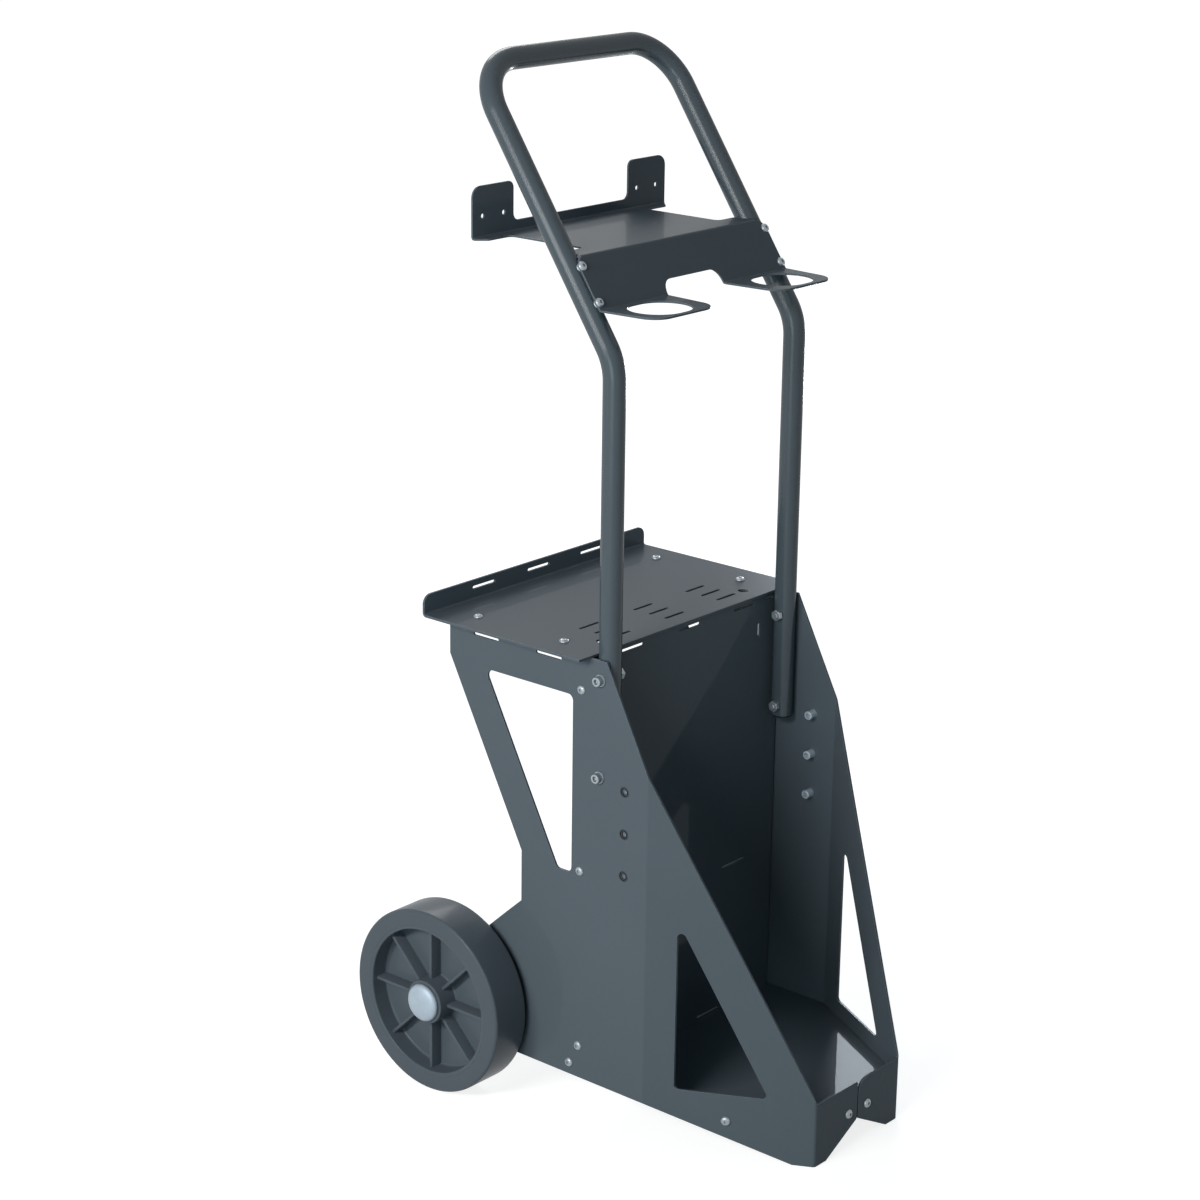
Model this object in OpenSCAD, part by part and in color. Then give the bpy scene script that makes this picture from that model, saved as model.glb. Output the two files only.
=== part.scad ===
// Welding cart: two folded side panels, a machine shelf, a gas bottle bay,
// a bent tube handle with a torch hanger, and two plain-bearing wheels.
// X is the width, Y runs from the toe to the wheels, Z is up from the ground.

/* [Side panels] */
// Width over the two side panels
body_w = 300.8; // [280:1:330]
// Thickness of the side panel sheet
panel_t = 2.5; // [2:0.1:3]
// Inside radius of every sheet fold
fold_r = 2; // [1:0.5:3]
// Height of the panels' level bottom edge
panel_low_z = 48; // [40:1:60]
// Upright rear edge, behind the shelf front
panel_rear_y = 185; // [170:1:195]
// Length of the upright rear edge below the shelf
panel_rear_drop = 37; // [30:1:45]
// Upright edge above the wheel, behind the shelf front
waist_y = 88.5; // [80:1:95]
// Height where the slanted rear edge meets that upright edge
waist_z = 270; // [260:1:285]
// Length of the upright edge above the wheel
waist_h = 53.5; // [45:1:60]
// How far the upper edge of the axle lobe swells
lobe_swell = 0.8; // [0.2:0.1:3]
// Where the lobe starts on the bottom edge
lobe_root_y = 94; // [88:1:110]
// Radius of the lobe round the axle
lobe_r = 29.5; // [24:0.5:32]
// How far the panel top reaches in front of the shelf
brow_y = 19; // [16:0.5:24]
// Fold line of the panel's front wing, in front of the shelf
wing_y = 72; // [65:1:80]
// Height of the front wing's upper corner
wing_top_z = 388.5; // [370:1:400]

/* [Toe] */
// Distance of the toe face in front of the shelf
toe_y = 223; // [210:1:235]
// Half width of the toe between its two corner folds
toe_half = 68.5; // [60:0.5:80]
// Height of the toe face
toe_h = 67.5; // [60:1:75]
// Length of each flat foot at the toe corner
foot_len = 20; // [15:1:25]
// Half width between the two feet on the toe face
foot_half = 50; // [40:1:55]
// Height of the peak between the two feet
toe_peak_z = 27; // [20:1:32]
// Gap between the left and the right toe flange
toe_gap = 2; // [1:0.5:4]
// Corner radius on the left toe flange
toe_left_r = 3; // [2:1:8]
// Corner radius on the right toe flange
toe_right_r = 13; // [5:1:15]

/* [Panel windows] */
// Width of the band between the slanted edge and the rear window
rear_band = 44.3; // [35:1:55]
// Front edge of the rear window
rear_win_y = 23; // [18:1:30]
// Lower edge of the rear window
rear_win_low_z = 265; // [255:1:275]
// Distance from the shelf top to the rear window
rear_win_drop = 45; // [40:1:60]
// Corner radius of the rear window
rear_win_r = 6; // [3:0.5:8]
// Distance from the wing fold to the front window
front_win_off = 27.2; // [24:0.5:35]
// Width of the band between the wing edge and the front window
front_band = 41.4; // [35:0.5:50]
// Height of the front window's upper corner
front_win_top_z = 246.5; // [230:0.5:255]
// Corner radius of the front window
front_win_r = 4; // [2:0.5:6]

/* [Shelf] */
// Height of the shelf top above the ground
shelf_z = 493.5; // [470:1:520]
// Width of the shelf plate
shelf_w = 337; // [320:1:345]
// Depth of the shelf plate
shelf_d = 205; // [200:1:215]
// Thickness of the shelf plate
shelf_t = 2.5; // [2:0.1:3]
// Height of the lip along the shelf's rear edge
lip_h = 20; // [15:1:30]
// Corner radius of the lip
lip_r = 10; // [5:1:14]
// Length of the strap slots in the shelf lip, panels and wall
slot_len = 33; // [25:1:40]
// Height of the strap slots
slot_h = 3; // [2:0.5:4]
// Spacing of the strap slots
slot_pitch = 82; // [70:1:90]
// Length of the vent slits in the shelf
slit_len = 30; // [20:1:40]
// Width of the vent slits
slit_w = 3.5; // [2:0.5:5]
// Spacing of the vent slits in a group
slit_pitch = 20; // [15:1:25]
// First row of vent slits, behind the shelf front
slit_y = 22; // [18:1:30]
// Diameter of the cable holes beside the vent slits
cable_hole_d = 11; // [8:0.5:14]
// Distance of each cable hole from the middle
cable_hole_x = 110; // [100:1:116]
// Width of the flanges that the panels turn in under the shelf
top_flange_w = 27; // [22:1:32]

/* [Bay wall and floor tray] */
// Front face of the bay wall, behind the shelf front
wall_y = 2.5; // [2:0.1:4]
// Thickness of the wall and tray sheet
bay_t = 2; // [1.5:0.1:2.5]
// Depth of the wall's side flanges
wall_flange = 20; // [18:1:26]
// Height of the floor tray's top face
floor_z = 50; // [45:1:58]
// Rear edge of the floor tray
floor_rear_y = 40; // [34:1:50]
// Height of the tray's rear side flanges
floor_up = 22; // [20:1:28]
// Drop of the tray's flanges at the wings and the toe
floor_down = 21; // [18:1:22]
// Half width of the tray's toe flange
floor_toe_half = 42; // [30:1:46]

/* [Handle] */
// Outer diameter of the handle tube
tube_d = 22; // [20:0.5:25]
// Wall of the handle tube
tube_wall = 2; // [1.5:0.1:2.5]
// Tube axis in front of the shelf
tube_y = 11.8; // [11:0.1:14]
// Distance from the shelf top down to the tube's lower end
tube_drop = 131; // [129:1:138]
// Height of the elbow above the shelf top
elbow_rise = 281.9; // [250:0.1:300]
// Lean of the upper handle from upright, in degrees
lean = 34.4; // [25:0.5:40]
// Bend radius of the elbow
elbow_r = 55; // [45:1:70]
// Length of the leaning handle up to the middle of its grip bar
upper_len = 312; // [290:1:340]
// Bend radius at the two ends of the grip bar
grip_r = 52; // [40:1:60]
// Distance from the shelf top down to the upper handle bolts
bolt_drop = 22; // [18:0.5:28]
// Distance between the upper and the lower handle bolts
bolt_pitch = 98; // [92:0.5:100]

/* [Torch hanger] */
// Thickness of the hanger sheet
hanger_t = 2; // [1.5:0.1:2.5]
// Height of the hanger's top face above the shelf top
hanger_rise = 375.5; // [360:0.5:390]
// Distance from the hanger's top face down to the ring plates' top face
ring_drop = 45.5; // [40:0.5:54]
// Front face of the two ears, behind the shelf front
ear_y = 161.8; // [150:1:170]
// How far the ears reach out past the axes of the handle's legs
ear_reach = 5.4; // [3:0.2:8]
// Width of each ear
ear_w = 57.5; // [50:1:65]
// Height of the ears above the hanger's top face
ear_h = 49; // [40:1:60]
// Corner radius of the ears
ear_r = 11; // [6:1:14]
// Height of the rear rim between the ears
rim_h = 10.5; // [8:0.5:16]
// How far the narrow part of the hanger plate is set in from the ears
neck_in = 42; // [32:1:52]
// Depth of the wide strip in front of the ears
strip_d = 11; // [8:1:16]
// Depth of the wide part behind the front fold
shoulder_d = 24; // [20:1:30]
// How far the sloping front plate reaches out past the axes of the handle's legs
plate_reach = 3.4; // [1:0.2:6]
// Radius of the front plate's upper corners
plate_r = 12; // [6:1:14]
// Width of each ring plate where it leaves the front plate
ring_plate_w = 98; // [92:1:105]
// Height of the notch above the ring plates
notch_h = 12.5; // [10:0.5:18]
// Corner radius of the notch
notch_r = 12; // [6:1:13]
// Front edge of the ring plates, in front of the shelf
ring_y = 60.5; // [58:0.5:70]
// How much narrower a ring plate gets on each side towards its front
ring_taper = 5; // [0:0.5:8]
// Corner radius of the ring plates
ring_corner_r = 20; // [12:1:25]
// Middle of each ring hole in from the front plate's side
ring_in = 47.5; // [44:0.5:52]
// Middle of each ring hole in front of the shelf
ring_mid_y = 28; // [27:0.5:32]
// Radius of the ends of each ring hole
ring_hole_r = 27.5; // [24:0.5:30]
// Straight length between the ends of each ring hole
ring_hole_flat = 9; // [6:1:14]
// Diameter of the four holes in the ears
ear_hole_d = 4.5; // [4:0.1:6]
// Distance of the outer ear holes from the ear's side
ear_hole_in = 14.3; // [10:0.1:18]
// Distance between the two holes in an ear
ear_hole_pitch = 29.4; // [25:0.1:35]
// Height of the ear holes above the hanger's top face
ear_hole_h = 20; // [15:0.5:30]
// Distance from the hanger's top face down to the upper hanger screws
hanger_screw_drop = 8.6; // [7:0.1:12]
// Height of the lower hanger screws above the ring plates' top face
hanger_screw_rise = 6; // [5:0.1:10]

/* [Wheels] */
// Diameter of the wheels over the tyres
wheel_d = 194; // [180:1:200]
// Width of the tyres
tyre_w = 44; // [38:1:50]
// Height of the tyre from its seat to its tread
tyre_h = 17; // [14:0.5:24]
// Radius of the tyre shoulders
tyre_r = 3; // [2:0.5:9]
// Wall of the rim barrel
rim_wall = 3; // [2:0.5:5]
// Thickness of the wheel disc
disc_t = 5; // [4:0.5:8]
// Number of ribs on each side of the disc
rib_n = 8; // [6:1:10]
// Thickness of the ribs
rib_t = 4; // [3:0.5:6]
// Distance of the rib edges below the tyre face
rib_sink = 6.5; // [4:0.5:9]
// Radius of the hub
hub_r = 23; // [21:0.5:25]
// How far the hub stands out past the tyre on the outside
hub_out = 2.5; // [2:0.5:6]
// How far the hub stands out past the tyre on the inside
hub_in = 2.8; // [2:0.1:4]
// Distance of the axle behind the shelf front
axle_y = 172; // [165:1:180]
// Diameter of the axle
axle_d = 20; // [16:1:22]
// Wall of the hub bushes
bush_wall = 2.5; // [2:0.5:3]
// Thickness of the washers between the panels and the hubs
washer_t = 3.5; // [2:0.1:4]
// Radius of the axle caps
cap_r = 19.6; // [18:0.1:20]
// Depth of the axle caps
cap_h = 7.5; // [6.5:0.1:9]

/* [Fasteners] */
// Diameter of the button screws
screw_d = 5; // [4:0.5:6]
// Diameter of the button heads
button_d = 9.5; // [8:0.1:11]
// Height of the button heads
button_h = 2.7; // [2:0.1:3.5]
// Width over the flats of the small nuts
nut_af = 8; // [7:0.1:10]
// Height of the small nuts
nut_h = 4; // [3:0.1:5]
// Diameter of the handle bolts
bolt_d = 6; // [5:0.5:8]
// Diameter of the handle bolt heads
cap_head_d = 10; // [9:0.5:13]
// Height of the handle bolt heads
cap_head_h = 6; // [5:0.5:8]
// Width over the flats of the handle nuts
bolt_nut_af = 10; // [9:0.5:13]
// Height of the handle nuts
bolt_nut_h = 5; // [4:0.5:6.5]
// Distance from the shelf top down to the top rivet nut on each panel
rivet_drop = 127; // [120:0.5:135]
// Spacing of the rivet nuts
rivet_pitch = 43.25; // [40:0.25:48]
// Distance of the rivet nuts in front of the shelf
rivet_y = 43.4; // [38:0.2:50]
// Diameter of the rivet nut flanges
rivet_flange_d = 11; // [10:0.5:13]
// Diameter of the rivet nut barrels
rivet_barrel_d = 9; // [8:0.5:9.5]
// Bore of the rivet nuts
rivet_bore_d = 5; // [4:0.1:6]
// Length of the rivet nuts behind the panel
rivet_len = 9; // [6:0.5:12]

/* [Hidden] */
$fn = 64;

// Colours of the finishes
paint = [0.33, 0.36, 0.39];
tread_grey = [0.28, 0.3, 0.32];
zinc = [0.75, 0.77, 0.8];
plug_black = [0.12, 0.12, 0.13];
bush_white = [0.8, 0.8, 0.76];

// One overrun for every through cut, and the clearances of the fits
over = 5;
hole_gap = 0.25;
thread_gap = 0.05;
run_gap = 0.05;
seat_gap = 0.1;
side_gap = 0.3;

// Step between the ends of neighbouring folds, and the lean of the lobe's tip
flange_step = 2;
lobe_angle = 46.6;

// Points along each rounded fold or corner
fold_steps = 6;
curve_steps = 16;

// Derived places of the panels
half = body_w / 2;
panel_top_z = shelf_z - shelf_t;
rear_low_z = panel_top_z - panel_rear_drop;
waist_low_z = waist_z - waist_h;
axle_z = wheel_d / 2;
inner_half = half - panel_t;
wing_run = toe_y - wing_y;
wing_in = half - toe_half;
wing_angle = atan2(wing_in, wing_run);
slant_run = (panel_rear_y - waist_y) / (rear_low_z - waist_z);
toe_low_y = toe_y - foot_len;

// Places of the screws on the panels
wall_screw_y = 11.8;
wall_screw_drop = 37;
wall_screw_top_z = shelf_z - wall_screw_drop;
wall_screw_low_z = 82.8;
wall_screw_mid_z = (wall_screw_top_z + wall_screw_low_z) / 2;
wall_screw_zs = [wall_screw_top_z, wall_screw_mid_z, wall_screw_low_z];
floor_screw_y = 23.2;
floor_screw_z = floor_z + floor_up / 2;
wing_screw_y = 145.1;
wing_screw_z = floor_z - floor_down / 2;
toe_screw_x = 15.4;
toe_screw_z = floor_z - bay_t - floor_down / 2;
shelf_screw_in = 13.7;
shelf_screw_x = half - shelf_screw_in;
shelf_screw_ys = [47, 159.6];
panel_slot_drop = 12;
panel_slot_y = 54.5;
rivet_zs = [for (k = [0:2]) shelf_z - rivet_drop - k * rivet_pitch];

// Places on the shelf and the bay wall
lip_slot_z = 12;
wall_slot_z = 50.5;
wall_mid_slot_z = 209.5;
wall_slot_len = 36;
wall_low_slot_x = 45;
wall_mid_slot_x = 80.5;
wall_slot_h = 2;
wall_key_in = 35.4;
wall_key_x = inner_half - wall_key_in;
wall_key_drop = 38;
wall_key_z = shelf_z - wall_key_drop;
wall_key_len = 14;
wall_key_w = 2.5;
wall_top_slot_drop = 5.5;
wall_top_slot_pitch = 87;
wall_notch_in = 19.9;
wall_notch_x = inner_half - wall_notch_in;
wall_notch_len = 13;
wall_flange_low_z = floor_z + floor_up + flange_step;
wall_flange_top_z = panel_top_z - panel_t - fold_r - flange_step;
flange_front_y = 6;
flange_rear_gap = 5;

// Derived places of the handle and the hanger
tube_r = tube_d / 2;
insert_r = 3.6;
insert_flange_r = 4.2;
insert_flange_t = 1.5;
plate_bend = (hanger_t + fold_r) * tan((90 - lean) / 2);
tube_x = inner_half - side_gap - tube_r;
tube_low_z = shelf_z - tube_drop;
bolt_high_z = shelf_z - bolt_drop;
bolt_low_z = bolt_high_z - bolt_pitch;
elbow_z = shelf_z + elbow_rise;
hanger_z = shelf_z + hanger_rise;
ring_z = hanger_z - ring_drop;
hanger_screw_zs = [hanger_z - hanger_screw_drop, ring_z + hanger_screw_rise];
ear_x = tube_x + ear_reach;
ear_hole_xs = [ear_x - ear_hole_in, ear_x - ear_hole_in - ear_hole_pitch];
plate_x = tube_x + plate_reach;
notch_half = plate_x - ring_plate_w;
ring_x = plate_x - ring_in;
neck_half = ear_x - neck_in;
elbow_leg = elbow_r * tan(lean / 2);
lean_dir = [sin(lean), cos(lean)];
plate_dir = [-cos(lean), sin(lean)];
plate_off = tube_r + insert_flange_t + hanger_t;
plate_base = [-tube_y, elbow_z] + plate_off * plate_dir;
strip_y = ear_y - strip_d;
ear_slope_r = 7;
bend_draw = 0.1;
bend_lap = 1;
plug_flange = 2;
plug_len = bolt_low_z - bolt_d / 2 - flange_step - tube_low_z;
insert_len = 8;
insert_h = insert_flange_t + insert_len;
bolt_washer_t = 1.5;
rivet_flange_t = 0.9;
thread_past = 1.5;
shoulder_r = 4;
neck_r = 6;
rim_corner_r = 3;
tray_wing_len = 60;
tray_wing_rear = 15;

// Derived places of the wheels
tyre_in_x = half + washer_t + side_gap + hub_in;
tyre_out_x = tyre_in_x + tyre_w;
wheel_mid_x = tyre_in_x + tyre_w / 2;
hub_in_x = tyre_in_x - hub_in;
hub_out_x = tyre_out_x + hub_out;
rim_r = wheel_d / 2 - tyre_h;
rim_edge = 0.8;
bush_r = axle_d / 2 + bush_wall;
washer_r = 17;
cap_in_x = hub_out_x + side_gap;
cap_wall = 1.5;
cap_brim_t = 2;
cap_out_x = cap_in_x + cap_h;
axle_end_x = cap_out_x - cap_wall - side_gap;

// The origin is the middle of the footprint of the whole cart, on the ground
front_y = -toe_y - button_h;
back_y = axle_y + wheel_d / 2;
mid_y = (front_y + back_y) / 2;

// Height of the slanted rear edge's line at a place y, turned round
function slant_y(z) = waist_y + (z - waist_z) * slant_run;
// Place of the sloping plate's front face at a height z
function plate_y(z) = plate_base[0] + (z - plate_base[1]) * lean_dir[0] / lean_dir[1];

function unit(v) = v / norm(v);
function left_of(v) = [-v[1], v[0]];
function turned(v, a) = [v[0] * cos(a) - v[1] * sin(a), v[0] * sin(a) + v[1] * cos(a)];
function turn_angle(u, w) = atan2(u[0] * w[1] - u[1] * w[0], u * w);
function arc(c, r, a0, a1, steps = curve_steps) =
    [for (k = [0:steps]) c + r * [cos(a0 + (a1 - a0) * k / steps), sin(a0 + (a1 - a0) * k / steps)]];
function curve(a, b, c, steps = curve_steps) =
    [for (k = [0:steps]) let(s = k / steps) (1 - s) * (1 - s) * a + 2 * s * (1 - s) * b + s * s * c];

// Both faces of one fold: the path's own face, and the face t to its left
function fold(a, b, c, t, r) =
    let(
        u = unit(b - a),
        w = unit(c - b),
        turn = turn_angle(u, w),
        side = turn > 0 ? 1 : -1,
        ref_r = turn > 0 ? r + t : r,
        reach = ref_r * tan(abs(turn) / 2),
        mid = b - reach * u + side * ref_r * left_of(u)
    )
    [for (k = [0:fold_steps])
        let(d = turned(left_of(u), turn * k / fold_steps))
        [mid - side * ref_r * d, mid - (side * ref_r - t) * d]];

// Outline of a folded sheet of thickness t, seen along its folds
function folded(path, t, r) =
    let(
        last = len(path) - 1,
        first_n = left_of(unit(path[1] - path[0])),
        last_n = left_of(unit(path[last] - path[last - 1])),
        pairs = concat(
            [[path[0], path[0] + t * first_n]],
            [for (i = [1:last - 1]) for (p = fold(path[i - 1], path[i], path[i + 1], t, r)) p],
            [[path[last], path[last] + t * last_n]]
        )
    )
    concat([for (p = pairs) p[0]], [for (i = [len(pairs) - 1:-1:0]) pairs[i][1]]);

// Outline with each corner rounded by its own radius
function rounded(points, radii) =
    let(n = len(points))
    [for (i = [0:n - 1])
        let(
            a = points[(i + n - 1) % n],
            b = points[i],
            c = points[(i + 1) % n],
            u = unit(b - a),
            w = unit(c - b),
            turn = turn_angle(u, w),
            side = turn > 0 ? 1 : -1,
            mid = b - radii[i] * tan(abs(turn) / 2) * u + side * radii[i] * left_of(u)
        )
        for (k = [0:fold_steps])
            mid - side * radii[i] * turned(left_of(u), turn * k / fold_steps)];

// Extrusions of an outline along one axis between two places
module along_x(x0, x1) {
    translate([x0, 0, 0])
        rotate([90, 0, 90])
            linear_extrude(x1 - x0)
                children();
}

module along_y(y0, y1) {
    translate([0, y1, 0])
        rotate([90, 0, 0])
            linear_extrude(y1 - y0)
                children();
}

module along_z(z0, z1) {
    translate([0, 0, z0])
        linear_extrude(z1 - z0)
            children();
}

module both_sides() {
    children();
    mirror([1, 0, 0])
        children();
}

// A round bar along X, Y or Z from its start
module bar_x(r, len) {
    rotate([0, 90, 0])
        cylinder(r = r, h = len);
}

module bar_y(r, len) {
    rotate([-90, 0, 0])
        cylinder(r = r, h = len);
}

// A slot with round ends, in the plane of a linear extrusion
module slot_2d(len, w) {
    square([len - w, w], center = true);
    for (side = [-1, 1])
        translate([side * (len - w) / 2, 0])
            circle(d = w);
}

// The corner that a radius r takes off, with its tip at the origin
module corner_2d(r) {
    difference() {
        translate([-over, -over])
            square(r + over);
        translate([r, r])
            circle(r = r);
    }
}

// Moves the finished shapes so that the origin is under the middle
module placed() {
    translate([0, -mid_y, 0])
        children();
}

// Side panels
// Edge of the panel in side view: Y to the rear, Z up
module panel_outline() {
    axle_p = [axle_y, axle_z];
    top_tip = axle_p + lobe_r * [cos(lobe_angle), sin(lobe_angle)];
    waist_p = [waist_y, waist_low_z];
    swell_n = left_of(unit(waist_p - top_tip));
    swell_p = (waist_p + top_tip) / 2 - 2 * lobe_swell * swell_n;
    root_p = [lobe_root_y, panel_low_z];
    to_axle = axle_p - root_p;
    low_angle = atan2(to_axle[1], to_axle[0]) - asin(lobe_r / norm(to_axle));
    polygon(concat(
        [
            [panel_rear_y, panel_top_z],
            [panel_rear_y, rear_low_z],
            [waist_y, waist_z]
        ],
        curve(waist_p, swell_p, top_tip),
        arc(axle_p, lobe_r, lobe_angle, low_angle - 90),
        [
            root_p,
            [-wing_y, panel_low_z],
            [-toe_low_y, 0],
            [-toe_y - over, 0],
            [-toe_y - over, toe_h],
            [-toe_y, toe_h],
            [-wing_y, wing_top_z],
            [-brow_y, panel_top_z]
        ]
    ));
}

module rear_window() {
    top_z = shelf_z - rear_win_drop;
    corners = [
        [rear_win_y, rear_win_low_z],
        [slant_y(rear_win_low_z) - rear_band, rear_win_low_z],
        [slant_y(top_z) - rear_band, top_z],
        [rear_win_y, top_z]
    ];
    polygon(rounded(corners, [for (c = corners) rear_win_r]));
}

module front_window() {
    rear_y = wing_y + front_win_off;
    corners = [
        [-toe_y + front_band, toe_h],
        [-rear_y, toe_h],
        [-rear_y, front_win_top_z]
    ];
    polygon(rounded(corners, [for (c = corners) front_win_r]));
}

// Plan of the folded panel wall, with the wing and the toe flange
module panel_plan() {
    polygon(folded([
        [-half, back_y],
        [-half, -wing_y],
        [-toe_half, -toe_y],
        [-toe_gap / 2, -toe_y]
    ], panel_t, fold_r));
}

// The flange under the shelf, as an L in front view
module top_flange() {
    along_y(flange_front_y, panel_rear_y - flange_rear_gap)
        polygon(folded([
            [-half, panel_top_z - 3 * panel_t - 2 * fold_r],
            [-half, panel_top_z],
            [-half + top_flange_w, panel_top_z]
        ], -panel_t, fold_r));
}

// Places of the holes along the wing, square to its face
module at_wing(y, z) {
    share = (y - wing_y) / wing_run;
    translate([-half + share * wing_in, -y, z])
        rotate([0, 0, wing_angle])
            children();
}

module panel_cuts() {
    for (z = [bolt_high_z, bolt_low_z])
        translate([-half - over, -tube_y, z])
            bar_x(bolt_d / 2 + hole_gap, panel_t + 2 * over);
    for (z = wall_screw_zs)
        translate([-half - over, wall_screw_y, z])
            bar_x(screw_d / 2 + hole_gap, panel_t + 2 * over);
    translate([-half - over, floor_screw_y, floor_screw_z])
        bar_x(screw_d / 2 + hole_gap, panel_t + 2 * over);
    at_wing(wing_screw_y, wing_screw_z)
        translate([-over, 0, 0])
            bar_x(screw_d / 2 + hole_gap, panel_t + 2 * over);
    for (z = rivet_zs)
        translate([-half - over, -rivet_y, z])
            bar_x(rivet_barrel_d / 2 + thread_gap, panel_t + 2 * over);
    translate([-half - over, axle_y, axle_z])
        bar_x(axle_d / 2 + seat_gap, panel_t + 2 * over);
    translate([-toe_screw_x, -toe_y - over, toe_screw_z])
        bar_y(screw_d / 2 + hole_gap, panel_t + 2 * over);
    for (y = shelf_screw_ys)
        translate([-shelf_screw_x, y, panel_top_z - panel_t - over])
            cylinder(r = screw_d / 2 + hole_gap, h = panel_t + 2 * over);
    for (y = [panel_slot_y, panel_slot_y + slot_pitch])
        along_x(-half - over, -half + panel_t + over)
            translate([y, shelf_z - panel_slot_drop])
                slot_2d(slot_len, slot_h);
}

module panel(toe_r) {
    difference() {
        union() {
            intersection() {
                along_z(-over, shelf_z)
                    panel_plan();
                along_x(-half - over, 0)
                    difference() {
                        panel_outline();
                        rear_window();
                        front_window();
                        translate([flange_front_y, panel_top_z - 2 * panel_t - fold_r])
                            square([panel_rear_y - flange_rear_gap - flange_front_y, 3 * panel_t + fold_r]);
                    }
            }
            top_flange();
        }
        panel_cuts();
        along_y(-toe_y - over, -toe_y + panel_t + fold_r)
            polygon([
                [-foot_half, -over],
                [-foot_half, 0],
                [0, toe_peak_z],
                [over, toe_peak_z],
                [over, -over]
            ]);
        along_y(-toe_y - over, -toe_y + panel_t + fold_r) {
            translate([2 * side_gap - toe_half, toe_h])
                square([toe_half + over, 3 * over]);
            translate([-toe_gap / 2, toe_h])
                rotate([0, 0, 180])
                    corner_2d(toe_r);
        }
    }
}

module side_panel_left() {
    color(paint)
        placed()
            panel(toe_left_r);
}

module side_panel_right() {
    color(paint)
        placed()
            mirror([1, 0, 0])
                panel(toe_right_r);
}

// Shelf
module shelf_plate() {
    color(paint)
        placed()
            difference() {
                along_x(-shelf_w / 2, shelf_w / 2)
                    polygon(folded([
                        [0, panel_top_z],
                        [shelf_d, panel_top_z],
                        [shelf_d, shelf_z + lip_h]
                    ], shelf_t, fold_r));
                along_y(shelf_d - shelf_t - over, shelf_d + over)
                    both_sides()
                        translate([shelf_w / 2, shelf_z + lip_h])
                            rotate([0, 0, 180])
                                corner_2d(lip_r);
                along_y(shelf_d - shelf_t - over, shelf_d + over)
                    for (i = [-1:1])
                        translate([i * slot_pitch, shelf_z + lip_slot_z])
                            slot_2d(slot_len, slot_h);
                along_z(panel_top_z - over, shelf_z + over) {
                    for (i = [-1:1])
                        for (k = [0:2])
                            translate([i * slot_pitch, slit_y + k * slit_pitch])
                                slot_2d(slit_len, slit_w);
                    both_sides()
                        translate([cable_hole_x, slit_y])
                            circle(d = cable_hole_d);
                    both_sides()
                        for (y = shelf_screw_ys)
                            translate([shelf_screw_x, y])
                                circle(r = screw_d / 2 + hole_gap);
                }
            }
}

// Bay wall and floor tray
module bay_wall() {
    top_z = panel_top_z;
    color(paint)
        placed()
            difference() {
                union() {
                    along_z(floor_z, top_z - fold_r)
                        polygon(folded([
                            [-inner_half, wall_y + wall_flange],
                            [-inner_half, wall_y],
                            [inner_half, wall_y],
                            [inner_half, wall_y + wall_flange]
                        ], bay_t, fold_r));
                    along_x(-shelf_screw_x + top_flange_w / 2, shelf_screw_x - top_flange_w / 2)
                        polygon(folded([
                            [wall_y, top_z - 2 * fold_r - 2 * bay_t],
                            [wall_y, top_z],
                            [wall_y + wall_flange, top_z]
                        ], -bay_t, fold_r));
                }
                both_sides()
                    along_x(inner_half - bay_t - fold_r, inner_half + over)
                        translate([wall_y + bay_t, floor_z - over])
                            square([wall_flange + over, wall_flange_low_z - floor_z + over]);
                both_sides()
                    along_x(inner_half - bay_t - fold_r, inner_half + over)
                        translate([wall_y + bay_t, wall_flange_top_z])
                            square([wall_flange + over, top_z - wall_flange_top_z]);
                both_sides()
                    for (z = wall_screw_zs)
                        translate([-inner_half - over, wall_screw_y, z])
                            bar_x(screw_d / 2 + hole_gap, bay_t + 2 * over);
                along_y(wall_y - over, wall_y + bay_t + fold_r + over / 2) {
                    for (i = [-1:1])
                        translate([i * wall_top_slot_pitch, top_z - wall_top_slot_drop])
                            slot_2d(slot_len, slot_h);
                    both_sides() {
                        translate([wall_notch_x, top_z - wall_top_slot_drop])
                            slot_2d(wall_notch_len, slot_h);
                        translate([wall_mid_slot_x, wall_mid_slot_z])
                            slot_2d(wall_slot_len, wall_slot_h);
                        translate([wall_low_slot_x, wall_slot_z + wall_slot_h])
                            slot_2d(wall_slot_len, wall_slot_h);
                        translate([wall_key_x, wall_key_z])
                            rotate([0, 0, 90])
                                slot_2d(wall_key_len, wall_key_w);
                    }
                }
            }
}

module floor_plan() {
    edge_y = toe_y - panel_t - 2 * side_gap;
    side_x = inner_half - side_gap;
    fold_y = wing_y - (panel_t + side_gap) * tan(wing_angle / 2);
    front_x = side_x - (edge_y - fold_y) * tan(wing_angle);
    polygon([
        [-side_x, floor_rear_y],
        [-side_x, -fold_y],
        [-front_x, -edge_y],
        [front_x, -edge_y],
        [side_x, -fold_y],
        [side_x, floor_rear_y]
    ]);
}

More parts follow.
